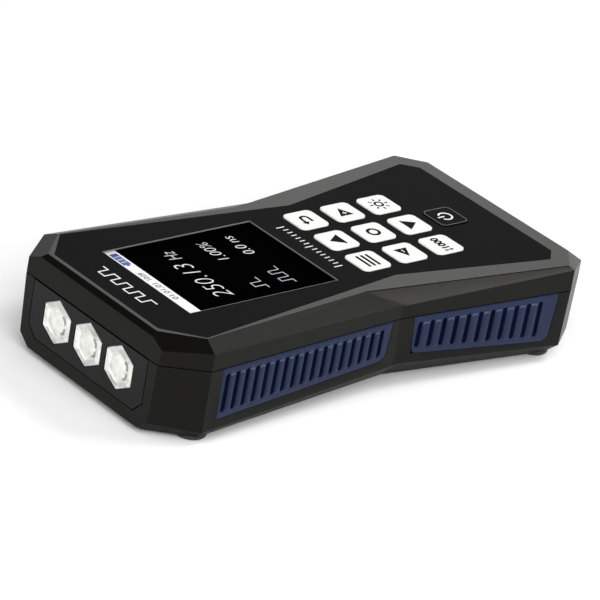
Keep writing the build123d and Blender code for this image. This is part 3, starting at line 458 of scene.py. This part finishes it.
# ---------------------------------------------------------------- grips
WAIST = Vector((37.3, -6.9, 24.9))
GRIPS = {
    "grip_front": {
        "from": WAIST, "to": Vector((41.65, 69.8, 24.9)), "skirt": Vector((41.2, 69.4, 4.5)),
        "front": ((65.2, 24.9), (64.8, 8.0)), "rear": ((-3.9, 24.9), (-3.2, 11.9)),
        "corners": (3.2, 0.6), "grooves": (63.0, 0.3, 17),
    },
    "grip_rear": {
        "from": Vector((43.5, -71.8, 24.9)), "to": WAIST, "skirt": Vector((43.0, -71.6, 5.9)),
        "front": ((-12.1, 24.9), (-13.0, 12.2)), "rear": ((-67.3, 24.9), (-66.4, 8.2)),
        "corners": (3.4, 2.0), "grooves": (-14.6, -60.6, 11),
    },
}
GRIP_LEVEL = 0.2
GRIP_BOTTOM = -1.2
GRIP_TOP_GAP = 0.12
GRIP_FRAME = 2.0
EDGE_ROUNDING = 0.4
EDGE_DROP = 0.25
# the fine grid goes on past the outer grooves by this many half widths
FINE_MARGIN = 1.3
# faces of a column at the lower and the upper edge that keep the grip's own finish
LOW_EDGE_FACES, HIGH_EDGE_FACES = 3, 5
GRIP_SMOOTH_ANGLE = 60
GRIP_FINISHES = ("grip", "groove", "rib_tip")
# depth from which a face takes the groove finish, painted shade in the grooves
GROOVE_TONE_DEPTH = 0.25
# height and slope from which the round upper end of a rib takes a painted highlight
HIGHLIGHT_TIP_HEIGHT = 0.04
HIGHLIGHT_TIP_SLOPE = 0.22
GROOVE_HALF = 0.95
GROOVE_DEPTH = 0.9
RIB_HEIGHT = 0.4
GROOVE_WALL = 0.25
# grid lines from the middle of a groove to its edge, as shares of its half width
GROOVE_LINES = (0.0, 0.4, 0.72, 0.8, 0.9)
RIB_LINES = 6
END_STEP = 0.3
# grid lines in from the lower and the upper edge, the last ones over the round groove ends
EDGE_LINES = (0.0, 0.12, 0.24, 0.4, 1.2, 2.0, 2.08, 2.18, 2.32, 2.5, 2.7, 2.95)
MIDDLE_LINES = 7


def smooth_step(value):
    """0 below 0, 1 above 1, and a smooth rise between."""
    value = min(1.0, max(0.0, value))
    return value * value * (3 - 2 * value)


def groove_row(grooves):
    """First and last groove, their count and pitch, and half the width of a rib."""
    first, last, count = grooves
    pitch = (first - last) / (count - 1)
    return first, last, count, pitch, pitch / 2 - GROOVE_HALF


def relief(along, up, low, grooves):
    """Height of the ribbed face over its frame, at a point on the wall."""
    first, _, count, pitch, rib_half = groove_row(grooves)
    high = PARTING_Z - GRIP_FRAME
    place = (first - along) / pitch
    height = 0.0
    nearest = round(place)
    if 0 <= nearest <= count - 1:
        off = abs(place - nearest) * pitch
        middle = min(max(up, low + GROOVE_HALF), high - GROOVE_HALF)
        depth = GROOVE_HALF - math.hypot(off, up - middle)
        height -= GROOVE_DEPTH * smooth_step(depth / GROOVE_WALL)
    between = math.floor(place) + 0.5
    if 0 < between < count - 1:
        off = abs(place - between) * pitch
        middle = min(max(up, low + rib_half), high - rib_half)
        depth = 1 - math.hypot(off, up - middle) / rib_half
        if depth > 0:
            height += RIB_HEIGHT * math.sqrt(1 - (1 - depth) ** 2)
    return height


def grip_columns(grip):
    """Upright grid lines from the rear to the front, as (y at the bottom, y at the top)."""
    (front_top, _), (front_low, _) = grip["front"]
    (rear_top, _), (rear_low, _) = grip["rear"]
    first, last, count, pitch, rib_half = groove_row(grip["grooves"])
    offsets = [share * GROOVE_HALF for share in GROOVE_LINES]
    quarter = math.pi / 2
    offsets += [
        pitch / 2 - rib_half * math.cos(quarter * i / RIB_LINES) for i in range(RIB_LINES)
    ]
    straight = set()
    for index in range(count):
        for offset in offsets:
            straight.update((round(last + index * pitch + side * offset, 4) for side in (1, -1)))
        straight.add(round(last + (index + 0.5) * pitch, 4))
    margin = FINE_MARGIN * GROOVE_HALF
    middle = sorted(y for y in straight if last - margin < y < first + margin)
    columns = [(y, y) for y in middle]
    ends = ((rear_low, rear_top, middle[0], False), (front_low, front_top, middle[-1], True))
    for low, top, inner, at_front in ends:
        steps = math.ceil(abs(low - inner) / END_STEP)
        lines = [
            (low + (inner - low) * i / steps, top + (inner - top) * i / steps)
            for i in range(steps)
        ]
        columns = columns + lines[::-1] if at_front else lines + columns
    return columns


def grip_rows(grip):
    """Lines of grid points (y, z, height over the wall), each with a skirt down into the pocket."""
    front_low, front_low_z = grip["front"][1]
    rear_low, rear_low_z = grip["rear"][1]
    top_z = PARTING_Z - GRIP_TOP_GAP
    slope = (front_low_z - rear_low_z) / (front_low - rear_low)
    rows = []
    for low_y, top_y in grip_columns(grip):
        low_z = rear_low_z + slope * (low_y - rear_low)
        from_ends = (low_y - rear_low, front_low - low_y)
        for distance, radius in zip(from_ends, grip["corners"]):
            if distance < radius:
                low_z += radius - math.sqrt(radius ** 2 - (radius - distance) ** 2)
        lines = [low_z + step for step in EDGE_LINES]
        gap = (top_z - low_z - 2 * EDGE_LINES[-1]) / (MIDDLE_LINES + 1)
        lines += [lines[-1] + gap * (i + 1) for i in range(MIDDLE_LINES)]
        lines += [top_z - step for step in reversed(EDGE_LINES)]
        line = []
        for z in lines:
            y = low_y + (z - low_z) / (top_z - low_z) * (top_y - low_y)
            floor_z = rear_low_z + slope * (y - rear_low) + GRIP_FRAME
            level = GRIP_LEVEL + relief(y, z, floor_z, grip["grooves"])
            from_edge = min(*from_ends, z - low_z, top_z - z)
            level -= EDGE_DROP * (1 - smooth_step(from_edge / EDGE_ROUNDING))
            line.append((y, z, level))
        rows.append([(*line[0][:2], GRIP_BOTTOM)] + line + [(*line[-1][:2], GRIP_BOTTOM)])
    rows.insert(0, [(y, z, GRIP_BOTTOM) for y, z, _ in rows[0]])
    rows.append([(y, z, GRIP_BOTTOM) for y, z, _ in rows[-1]])
    return rows


def grip_finish(rows, i, j):
    """Finish of one face of the relief: painted shade in the grooves, painted highlight on rib
    tips.
    """
    corners = ((i, j), (i + 1, j), (i + 1, j + 1), (i, j + 1))
    depth = GRIP_LEVEL - sum(rows[row][column][2] for row, column in corners) / len(corners)
    inside = LOW_EDGE_FACES < j < len(rows[0]) - HIGH_EDGE_FACES
    rise = rows[i][j + 1][1] - rows[i][j][1]
    fall = rows[i][j][2] - rows[i][j + 1][2]
    # deep faces take painted shade
    if inside and depth > GROOVE_TONE_DEPTH:
        return "groove"
    # upward-facing upper rib ends take a painted highlight
    if inside and depth < -HIGHLIGHT_TIP_HEIGHT and fall > HIGHLIGHT_TIP_SLOPE * rise:
        return "rib_tip"
    return "grip"


def build_grips():
    """Rubber inlays as fine relief: rounded ribs with painted shade in the grooves between them."""
    for name, grip in GRIPS.items():
        along = (grip["to"] - grip["from"]).normalized()
        outward = along.cross(grip["skirt"] - grip["from"]).normalized()
        outward = outward if outward.x > 0 else -outward
        upward = outward.cross(along)
        start = grip["from"].y
        rows = grip_rows(grip)
        for side, suffix in ((1, "right"), (-1, "left")):
            shape = bmesh.new()
            grid = []
            for line in rows:
                made = []
                for y, z, level in line:
                    point = grip["from"] + along * (y - start)
                    point = point + upward * (z - PARTING_Z) + outward * level
                    made.append(shape.verts.new((side * point.x * MM, point.y * MM, point.z * MM)))
                grid.append(made)
            for i in range(len(grid) - 1):
                for j in range(len(grid[0]) - 1):
                    corners = [grid[i][j], grid[i + 1][j], grid[i + 1][j + 1], grid[i][j + 1]]
                    face = shape.faces.new(corners if side > 0 else corners[::-1])
                    face.smooth = True
                    face.material_index = GRIP_FINISHES.index(grip_finish(rows, i, j))
            made = piece(name + "_relief_" + suffix, shape, "case", "grip", *GRIP_FINISHES)
            made.data.set_sharp_from_angle(angle=math.radians(GRIP_SMOOTH_ANGLE))
            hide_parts(name + "_" + suffix)


# ---------------------------------------------------------------- lenses
LAMP_PITCH = 15.2
LAMP_Z = 16.15
FRONT_Y = 82.5
# radius, depth behind the front, and how far the corners are cut back to a circle
LENS_LOOPS = (
    (7.38, 5.2, 1.0), (7.38, 0.55, 1.0), (7.28, 0.22, 0.995), (7.02, 0.04, 0.99),
    (6.85, 0.0, 0.985), (5.15, 0.0, 0.965), (5.0, 0.06, 0.96), (4.85, 0.25, 0.96),
    (4.7, 0.45, 0.955), (4.6, 0.5, 0.95), (4.45, 0.45, 0.95), (4.2, 0.3, 0.94),
    (3.9, 0.2, 0.92), (3.2, 0.1, 0.88), (1.8, 0.03, 0.87), (0.5, 0.0, 0.87),
)
LENS_CONE = (
    (6.1, 5.2, 0.866), (3.6, 10.0, 0.866), (2.6, 10.0, 0.866), (2.6, 6.6, 0.866),
    (0.4, 6.6, 0.866),
)
LENS_POINTS = 48
LENS_SMOOTH_ANGLE = 35
LENS_FINISHES = ("lens", "lens_wall", "lens_shade", "lens_arc")
# bands between the loops that can take painted shade: outer side, rim, and both walls of the
# channel
LENS_SIDE = (0, 1)
LENS_RIM = (2, 3, 4)
LENS_STEEP = (7, 8)
LENS_INNER = (9, 10, 11)
# the rim has painted shade above and below this height, and the channel on the user's left
# has painted shade as two dark arcs with a gap between them
LENS_SHADE_FROM = 3.6
LENS_ARC_FROM = 2.2
LENS_ARC_GAP = 0.45


def lens_finish(band, across, up):
    """Finish of a lens face, from its band and its place from the middle."""
    on_arc = across < -LENS_ARC_FROM
    if band in LENS_SIDE:
        return "lens_wall"
    if band in LENS_INNER and on_arc and abs(up) > LENS_ARC_GAP:
        return "lens_arc"
    if (band in LENS_STEEP and on_arc) or (band in LENS_RIM and abs(up) > LENS_SHADE_FROM):
        return "lens_shade"
    return "lens"


def hexagon_loop(radius, depth, cut):
    """Points of a hexagon with a corner up, its corners cut back to a circle."""
    half_side = math.pi / 6
    points = []
    for index in range(LENS_POINTS):
        angle = 2 * math.pi * index / LENS_POINTS
        from_middle = math.fmod(angle, 2 * half_side) - half_side
        reach = min(radius * math.cos(half_side) / math.cos(from_middle), radius * cut)
        points.append(
            (reach * math.sin(angle), FRONT_Y - depth, LAMP_Z + reach * math.cos(angle))
        )
    return points


def build_lenses():
    """Hexagonal collimators: a rounded rim, a fine channel and a domed middle over a cone."""
    for name, column in (("left", -1), ("centre", 0), ("right", 1)):
        shape = bmesh.new()
        for loops in (LENS_LOOPS, LENS_CONE):
            rings = []
            for loop in loops:
                rings.append([
                    shape.verts.new(((x + column * LAMP_PITCH) * MM, y * MM, z * MM))
                    for x, y, z in hexagon_loop(*loop)
                ])
            for band, (first, second) in enumerate(zip(rings, rings[1:])):
                for i in range(LENS_POINTS):
                    after = (i + 1) % LENS_POINTS
                    face = shape.faces.new((first[i], first[after], second[after], second[i]))
                    face.smooth = True
                    if loops is LENS_LOOPS:
                        middle = face.calc_center_median() / MM
                        across = middle.x - column * LAMP_PITCH
                        # greyer and dark faces carry painted shade
                        finish = lens_finish(band, across, middle.z - LAMP_Z)
                        face.material_index = LENS_FINISHES.index(finish)
            shape.faces.new(rings[-1])
        bmesh.ops.recalc_face_normals(shape, faces=shape.faces)
        made = piece("lens_body_" + name, shape, "case", "lens", *LENS_FINISHES)
        made.data.set_sharp_from_angle(angle=math.radians(LENS_SMOOTH_ANGLE))
        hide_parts("lens_" + name)


# ---------------------------------------------------------------- threaded insert
INSERT_Y = 24.0
INSERT_LOW, INSERT_HIGH = 1.2, 9.8
INSERT_RADIUS = 4.4
BORE_RADIUS = 2.555
THREAD_DEPTH = 0.5
THREAD_PITCH = 1.27
INSERT_POINTS = 48
INSERT_STEPS = 96
INSERT_SMOOTH_ANGLE = 40


def insert_ring(shape, radii, z):
    """Ring of vertices round the insert's axis, one radius for each."""
    made = []
    for index, radius in enumerate(radii):
        angle = 2 * math.pi * index / INSERT_POINTS
        x, y = radius * math.cos(angle), INSERT_Y + radius * math.sin(angle)
        made.append(shape.verts.new((x * MM, y * MM, z * MM)))
    return made


def build_insert():
    """Brass insert with a real thread in its bore."""
    shape = bmesh.new()
    rings = []
    for step in range(INSERT_STEPS + 1):
        z = INSERT_LOW + (INSERT_HIGH - INSERT_LOW) * step / INSERT_STEPS
        phases = [(z / THREAD_PITCH + i / INSERT_POINTS) % 1.0 for i in range(INSERT_POINTS)]
        radii = [BORE_RADIUS + THREAD_DEPTH * (1 - abs(2 * phase - 1)) for phase in phases]
        rings.append(insert_ring(shape, radii, z))
    for z in (INSERT_HIGH, INSERT_LOW):
        rings.append(insert_ring(shape, [INSERT_RADIUS] * INSERT_POINTS, z))
    rings.append(rings[0])
    for first, second in zip(rings, rings[1:]):
        for i in range(INSERT_POINTS):
            after = (i + 1) % INSERT_POINTS
            shape.faces.new((first[i], second[i], second[after], first[after])).smooth = True
    bmesh.ops.recalc_face_normals(shape, faces=shape.faces)
    made = piece("threaded_insert", shape, "case", "brass", "brass")
    made.data.set_sharp_from_angle(angle=math.radians(INSERT_SMOOTH_ANGLE))
    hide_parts("tripod_insert")


# ---------------------------------------------------------------- printing
INK_THICKNESS = 0.02
# a line gets wider in its corners by at most the inverse of this
MITRE_LIMIT = 0.3
ARC_STEPS = 28
CORNER_STEPS = 8
LETTER_WELD = 1e-5


def bar(left, low, right, high):
    """Rectangle as one polygon."""
    return [[(left, low), (right, low), (right, high), (left, high)]]


def stroke(points, width, closed=False):
    """Line of even width through points, one polygon for each stretch."""
    count = len(points)
    sides = []
    for index, (x, y) in enumerate(points):
        before = points[index - 1] if closed or index else None
        after = points[(index + 1) % count] if closed or index < count - 1 else None
        directions = []
        for start, end in ((before, (x, y)), ((x, y), after)):
            if start and end:
                directions.append(Vector((end[0] - start[0], end[1] - start[1])).normalized())
        along = sum(directions, Vector((0, 0))).normalized()
        across = Vector((-along.y, along.x))
        turn = across.dot(Vector((-directions[0].y, directions[0].x)))
        reach = width / 2 / max(MITRE_LIMIT, turn)
        sides.append((
            (x + across.x * reach, y + across.y * reach),
            (x - across.x * reach, y - across.y * reach),
        ))
    quads = []
    for index in range(count if closed else count - 1):
        first, second = sides[index], sides[(index + 1) % count]
        quads.append([first[0], first[1], second[1], second[0]])
    return quads


def arc(centre, radius, start, end, steps=ARC_STEPS):
    """Points along an arc, angles in degrees."""
    angles = [math.radians(start + (end - start) * i / steps) for i in range(steps + 1)]
    return [(centre[0] + radius * math.cos(a), centre[1] + radius * math.sin(a)) for a in angles]


def ring(centre, radius, width):
    """Closed round line."""
    return stroke(arc(centre, radius, 0, 360)[:-1], width, closed=True)


def round_box(centre, half, radius):
    """Points round a square with rounded corners."""
    points = []
    for corner, (right, up) in enumerate(((1, 1), (-1, 1), (-1, -1), (1, -1))):
        middle = (centre[0] + right * (half - radius), centre[1] + up * (half - radius))
        points += arc(middle, radius, 90 * corner, 90 * corner + 90, CORNER_STEPS)
    return points


def thicken(shape, faces, thickness):
    """Raise flat faces into a thin layer."""
    raised = bmesh.ops.extrude_face_region(shape, geom=faces)["geom"]
    tops = [item for item in raised if isinstance(item, bmesh.types.BMVert)]
    bmesh.ops.translate(shape, vec=(0, 0, thickness * MM), verts=tops)


def add_shape(shape, other):
    """Put a second bmesh into a first one, and free it."""
    mesh = bpy.data.meshes.new("added")
    other.to_mesh(mesh)
    other.free()
    shape.from_mesh(mesh)
    bpy.data.meshes.remove(mesh)


def sheet_of(polygons, level, thickness=INK_THICKNESS):
    """Thin raised layer with the outlines of the polygons, in a new bmesh."""
    shape = bmesh.new()
    for outline in polygons:
        area = sum(a[0] * b[1] - b[0] * a[1] for a, b in zip(outline, outline[1:] + outline[:1]))
        ordered = outline if area > 0 else outline[::-1]
        corners = [shape.verts.new((x * MM, y * MM, level * MM)) for x, y in ordered]
        thicken(shape, [shape.faces.new(corners)], thickness)
    bmesh.ops.recalc_face_normals(shape, faces=shape.faces)
    return shape


def add_text(shape, text, box, level, lean, bold):
    """Add a line of text that fills a box, leaning to the right by lean times its height."""
    left, low, right, high = box
    curve = bpy.data.curves.new("text", "FONT")
    curve.body = text
    curve.resolution_u = 4
    curve.offset = bold
    holder = bpy.data.objects.new("text", curve)
    letters = bmesh.new()
    letters.from_mesh(holder.to_mesh())
    holder.to_mesh_clear()
    bpy.data.objects.remove(holder)
    bpy.data.curves.remove(curve)
    bmesh.ops.remove_doubles(letters, verts=letters.verts, dist=LETTER_WELD)
    for vertex in letters.verts:
        vertex.co.x += lean * vertex.co.y
    xs = [vertex.co.x for vertex in letters.verts]
    ys = [vertex.co.y for vertex in letters.verts]
    first_x, wide = min(xs), max(xs) - min(xs)
    first_y, tall = min(ys), max(ys) - min(ys)
    for vertex in letters.verts:
        x = left + (vertex.co.x - first_x) / wide * (right - left)
        y = low + (vertex.co.y - first_y) / tall * (high - low)
        vertex.co = (x * MM, y * MM, level * MM)
    thicken(letters, letters.faces[:], INK_THICKNESS)
    bmesh.ops.recalc_face_normals(letters, faces=letters.faces)
    add_shape(shape, letters)


# ---------------------------------------------------------------- screen picture
SCREEN_LEFT, SCREEN_RIGHT = -21.4, 21.4
SCREEN_LOW, SCREEN_HIGH = 6.35, 63.45
PICTURE_Z = 31.92
BAR_LOW = 57.65
# how far the picture goes on under the film
PICTURE_MARGIN = 1.4
BATTERY = ((13.3, 58.4, 20.9, 61.2), (12.6, 59.2, 13.3, 60.4))
BATTERY_GAPS = (15.0, 16.8, 18.6)
BATTERY_GAP_WIDTH, BATTERY_GAP_LOW, BATTERY_GAP_HIGH = 0.35, 58.8, 60.8
# text, its box (left, low, right, high), lean and boldness
CLOCK = (
    ("10:09", (2.6, 58.7, 7.6, 60.8), 0.0, 0.02),
    ("01.01.01", (-10.6, 58.7, 0.3, 60.8), 0.0, 0.02),
)
READINGS = (
    ("250.13", (-14.9, 41.2, 7.6, 47.3), 0.2, -0.02),
    ("Hz", (10.6, 41.0, 16.0, 45.5), 0.2, -0.02),
    ("1.00%", (5.0, 27.2, 16.8, 31.1), 0.15, -0.015),
    ("0.0 ns", (5.1, 16.8, 17.3, 20.6), 0.15, -0.01),
)
# line width, low, high, and the places across where the line starts, steps up or down, and ends
PULSE_SIGNS = (
    (0.28, 27.8, 31.8, (-15.0, -13.2, -10.8, -8.0)),
    (0.25, 17.4, 21.6, (-15.2, -13.4, -11.4, -8.6, -6.6, -4.2)),
)


def pulse_line(low, high, places):
    """Points of a square wave that starts and ends low and steps at the places between."""
    points = [(places[0], low)]
    for index, place in enumerate(places[1:-1]):
        before, after = (high, low) if index % 2 else (low, high)
        points += [(place, before), (place, after)]
    return points + [(places[-1], low)]


def build_picture():
    """What the screen shows: a pale bar with a battery, and three readings with pulse signs."""
    over_bar = PICTURE_Z + INK_THICKNESS
    over_battery = PICTURE_Z + 2 * INK_THICKNESS
    left, right = SCREEN_LEFT - PICTURE_MARGIN, SCREEN_RIGHT + PICTURE_MARGIN
    status = sheet_of(bar(left, BAR_LOW, right, SCREEN_HIGH + PICTURE_MARGIN), PICTURE_Z)
    piece("picture_bar", status, "case", None, "screen_white")
    battery = [outline for corners in BATTERY for outline in bar(*corners)]
    piece("picture_battery", sheet_of(battery, over_bar), "case", None, "screen_blue")
    gaps = []
    for x in BATTERY_GAPS:
        gaps += bar(x, BATTERY_GAP_LOW, x + BATTERY_GAP_WIDTH, BATTERY_GAP_HIGH)
    piece("picture_battery_cells", sheet_of(gaps, over_battery), "case", None, "screen_line")
    for name, lines, level, finish in (
        ("picture_clock", CLOCK, over_bar, "screen_dark"),
        ("picture_readings", READINGS, PICTURE_Z, "screen_white"),
    ):
        shape = bmesh.new()
        for text, box, lean, bold in lines:
            add_text(shape, text, box, level, lean, bold)
        piece(name, shape, "case", None, finish)
    pulses = []
    for width, low, high, places in PULSE_SIGNS:
        pulses += stroke(pulse_line(low, high, places), width)
    piece("picture_pulses", sheet_of(pulses, PICTURE_Z), "case", None, "screen_line")


# ---------------------------------------------------------------- marks on the film
FILM_TOP_Z = 33.2
WAVE_WIDTH, WAVE_LOW, WAVE_HIGH = 0.45, 69.2, 72.8
WAVE_PLACES = (-13.0, -10.0, -7.0, -4.0, -1.0, 2.0, 5.0, 8.0, 11.0, 13.4)
TICK_COUNT, TICK_START, TICK_PITCH = 15, -14.0, 2.0
TICK_HALF, TICK_LOW, TICK_HIGH = 0.2, -1.5, 0.5
# every so many ticks one is longer
LONG_TICKS, LONG_TICK_HIGH = 7, 1.7
CUT_WIDTH, CUT_DEPTH, CUT_HEIGHT = 0.14, 0.34, 0.36


def build_film_marks():
    """Plain marks where the maker prints words: a pulse line by the lamps, ticks by the keys."""
    wave = stroke(pulse_line(WAVE_LOW, WAVE_HIGH, WAVE_PLACES), WAVE_WIDTH)
    piece("film_pulse_line", sheet_of(wave, FILM_TOP_Z), "case", None, "ink_white")
    ticks = []
    for index in range(TICK_COUNT):
        x = TICK_START + index * TICK_PITCH
        high = TICK_HIGH if index % LONG_TICKS else LONG_TICK_HIGH
        ticks += bar(x - TICK_HALF, TICK_LOW, x + TICK_HALF, high)
    piece("film_tick_row", sheet_of(ticks, FILM_TOP_Z), "case", None, "ink_white")


def build_film_edge():
    """Pale cut edge of the film around the screen."""
    corners = bar(SCREEN_LEFT, SCREEN_LOW, SCREEN_RIGHT, SCREEN_HIGH)[0]
    edge = sheet_of(stroke(corners, CUT_WIDTH, closed=True), FILM_TOP_Z - CUT_DEPTH, CUT_HEIGHT)
    piece("film_cut_edge", edge, "case", None, "film_edge")


# ---------------------------------------------------------------- signs on the keys
KEY_TOP_Z = 33.5
KEY_PITCH = 14.93
FIRST_ROW_Y = -11.0
# key, column and row
KEYS = (
    ("menu", -1, 0), ("up", 0, 0), ("back", 1, 0), ("left", -1, 1), ("ok", 0, 1),
    ("right", 1, 1), ("scale", -1, 2), ("down", 0, 2), ("lamp", 1, 2), ("power", 0, 3),
)
UP_ARROW = ((0.1, 2.7), (-3.3, -2.0), (3.1, -2.0))
RIGHT_ARROW = ((2.6, 0.1), (-2.5, 2.7), (-2.5, -2.5))
HOOK_HEAD = ((-1.4, 2.7), (-1.4, -0.1), (-3.1, 1.3))
HOOK_START, HOOK_END, HOOK_WIDTH = (-1.8, 1.3), (-1.6, -1.5), 0.95
HOOK_CENTRE, HOOK_RADIUS = (0.7, -0.1), 1.4
MENU_LINES, MENU_HALF_LENGTH, MENU_HALF_WIDTH = (-1.9, 0, 1.9), 3.6, 0.5
OK_RADIUS, OK_WIDTH = 1.9, 1.0
LAMP_RADIUS, LAMP_WIDTH = 1.35, 0.75
RAY_FROM, RAY_TO, RAY_WIDTH, RAY_TURN = 2.3, 3.5, 0.6, 45
POWER_RADIUS, POWER_WIDTH, POWER_FROM, POWER_TO = 2.2, 0.6, 125, 415
POWER_BAR = (-0.3, 0.4, 0.3, 3.0)
# double arrow and digits of the scale key
SCALE_ARROW_X, SCALE_ARROW_WIDTH, SCALE_ARROW_HALF = -3.9, 0.35, 1.4
SCALE_HEAD_HALF, SCALE_HEAD_LOW, SCALE_HEAD_HIGH = 0.7, 0.7, 1.9
SCALE_BOX, SCALE_BOLD = (-2.6, -1.5, 4.3, 1.5), 0.045
# minus and plus inside the left and right arrows, a little nearer to the middle of the keypad
MARK_INSET, MARK_HALF_LENGTH, MARK_HALF_WIDTH = 0.9, 0.8, 0.18
FRAME_HALF, FRAME_RADIUS, FRAME_WIDTH = 5.27, 1.75, 0.22


def key_icons():
    """Polygons of each key's sign, measured from the key's own centre."""
    hook = arc(HOOK_CENTRE, HOOK_RADIUS, 90, -90, ARC_STEPS // 2)
    lamp = ring((0, 0), LAMP_RADIUS, LAMP_WIDTH)
    for angle in range(0, 360, RAY_TURN):
        x, y = math.cos(math.radians(angle)), math.sin(math.radians(angle))
        lamp += stroke([(RAY_FROM * x, RAY_FROM * y), (RAY_TO * x, RAY_TO * y)], RAY_WIDTH)
    ends = [(SCALE_ARROW_X, -SCALE_ARROW_HALF), (SCALE_ARROW_X, SCALE_ARROW_HALF)]
    scale = stroke(ends, SCALE_ARROW_WIDTH)
    left, right = SCALE_ARROW_X - SCALE_HEAD_HALF, SCALE_ARROW_X + SCALE_HEAD_HALF
    for up in (1, -1):
        base, tip = up * SCALE_HEAD_LOW, up * SCALE_HEAD_HIGH
        scale.append([(left, base), (right, base), (SCALE_ARROW_X, tip)])
    power = stroke(arc((0, 0), POWER_RADIUS, POWER_FROM, POWER_TO), POWER_WIDTH)
    return {
        "menu": [
            quad for y in MENU_LINES for quad in
            bar(-MENU_HALF_LENGTH, y - MENU_HALF_WIDTH, MENU_HALF_LENGTH, y + MENU_HALF_WIDTH)
        ],
        "up": [UP_ARROW],
        "down": [[(x, -y) for x, y in UP_ARROW]],
        "right": [RIGHT_ARROW],
        "left": [[(-x, y) for x, y in RIGHT_ARROW]],
        "back": stroke([HOOK_START] + hook + [HOOK_END], HOOK_WIDTH) + [HOOK_HEAD],
        "ok": ring((0, 0), OK_RADIUS, OK_WIDTH),
        "scale": scale,
        "lamp": lamp,
        "power": power + bar(*POWER_BAR),
    }


def build_key_signs():
    """Dark signs on the white keys and white ones on the dark key."""
    icons = key_icons()
    for key, column, row in KEYS:
        x0, y0 = column * KEY_PITCH, FIRST_ROW_Y - row * KEY_PITCH
        shape = bmesh.new()
        if key == "scale":
            left, low, right, high = SCALE_BOX
            box = (x0 + left, y0 + low, x0 + right, y0 + high)
            add_text(shape, "1000", box, KEY_TOP_Z, 0.0, SCALE_BOLD)
        moved = [[(x + x0, y + y0) for x, y in outline] for outline in icons[key]]
        add_shape(shape, sheet_of(moved, KEY_TOP_Z))
        ink = "ink_white" if key == "power" else "ink_black"
        piece("sign_" + key, shape, "key_" + key, None, ink)
    for key, column, mark in (("left", -1, "minus"), ("right", 1, "plus")):
        x0, y0 = column * (KEY_PITCH - MARK_INSET), FIRST_ROW_Y - KEY_PITCH
        reaches = [(MARK_HALF_LENGTH, MARK_HALF_WIDTH)]
        if mark == "plus":
            reaches.append((MARK_HALF_WIDTH, MARK_HALF_LENGTH))
        cut = [quad for x, y in reaches for quad in bar(x0 - x, y0 - y, x0 + x, y0 + y)]
        sheet = sheet_of(cut, KEY_TOP_Z + INK_THICKNESS)
        piece("sign_" + mark, sheet, "key_" + key, None, "ink_white")
    outline = round_box((0, FIRST_ROW_Y - 3 * KEY_PITCH), FRAME_HALF, FRAME_RADIUS)
    sheet = sheet_of(stroke(outline, FRAME_WIDTH, closed=True), KEY_TOP_Z)
    piece("sign_power_frame", sheet, "key_power", None, "ink_grey")


place_camera()
light_studio()
carry_over()
build_case()
build_grips()
build_lenses()
build_insert()
build_picture()
build_film_marks()
build_film_edge()
build_key_signs()
lay_floor()
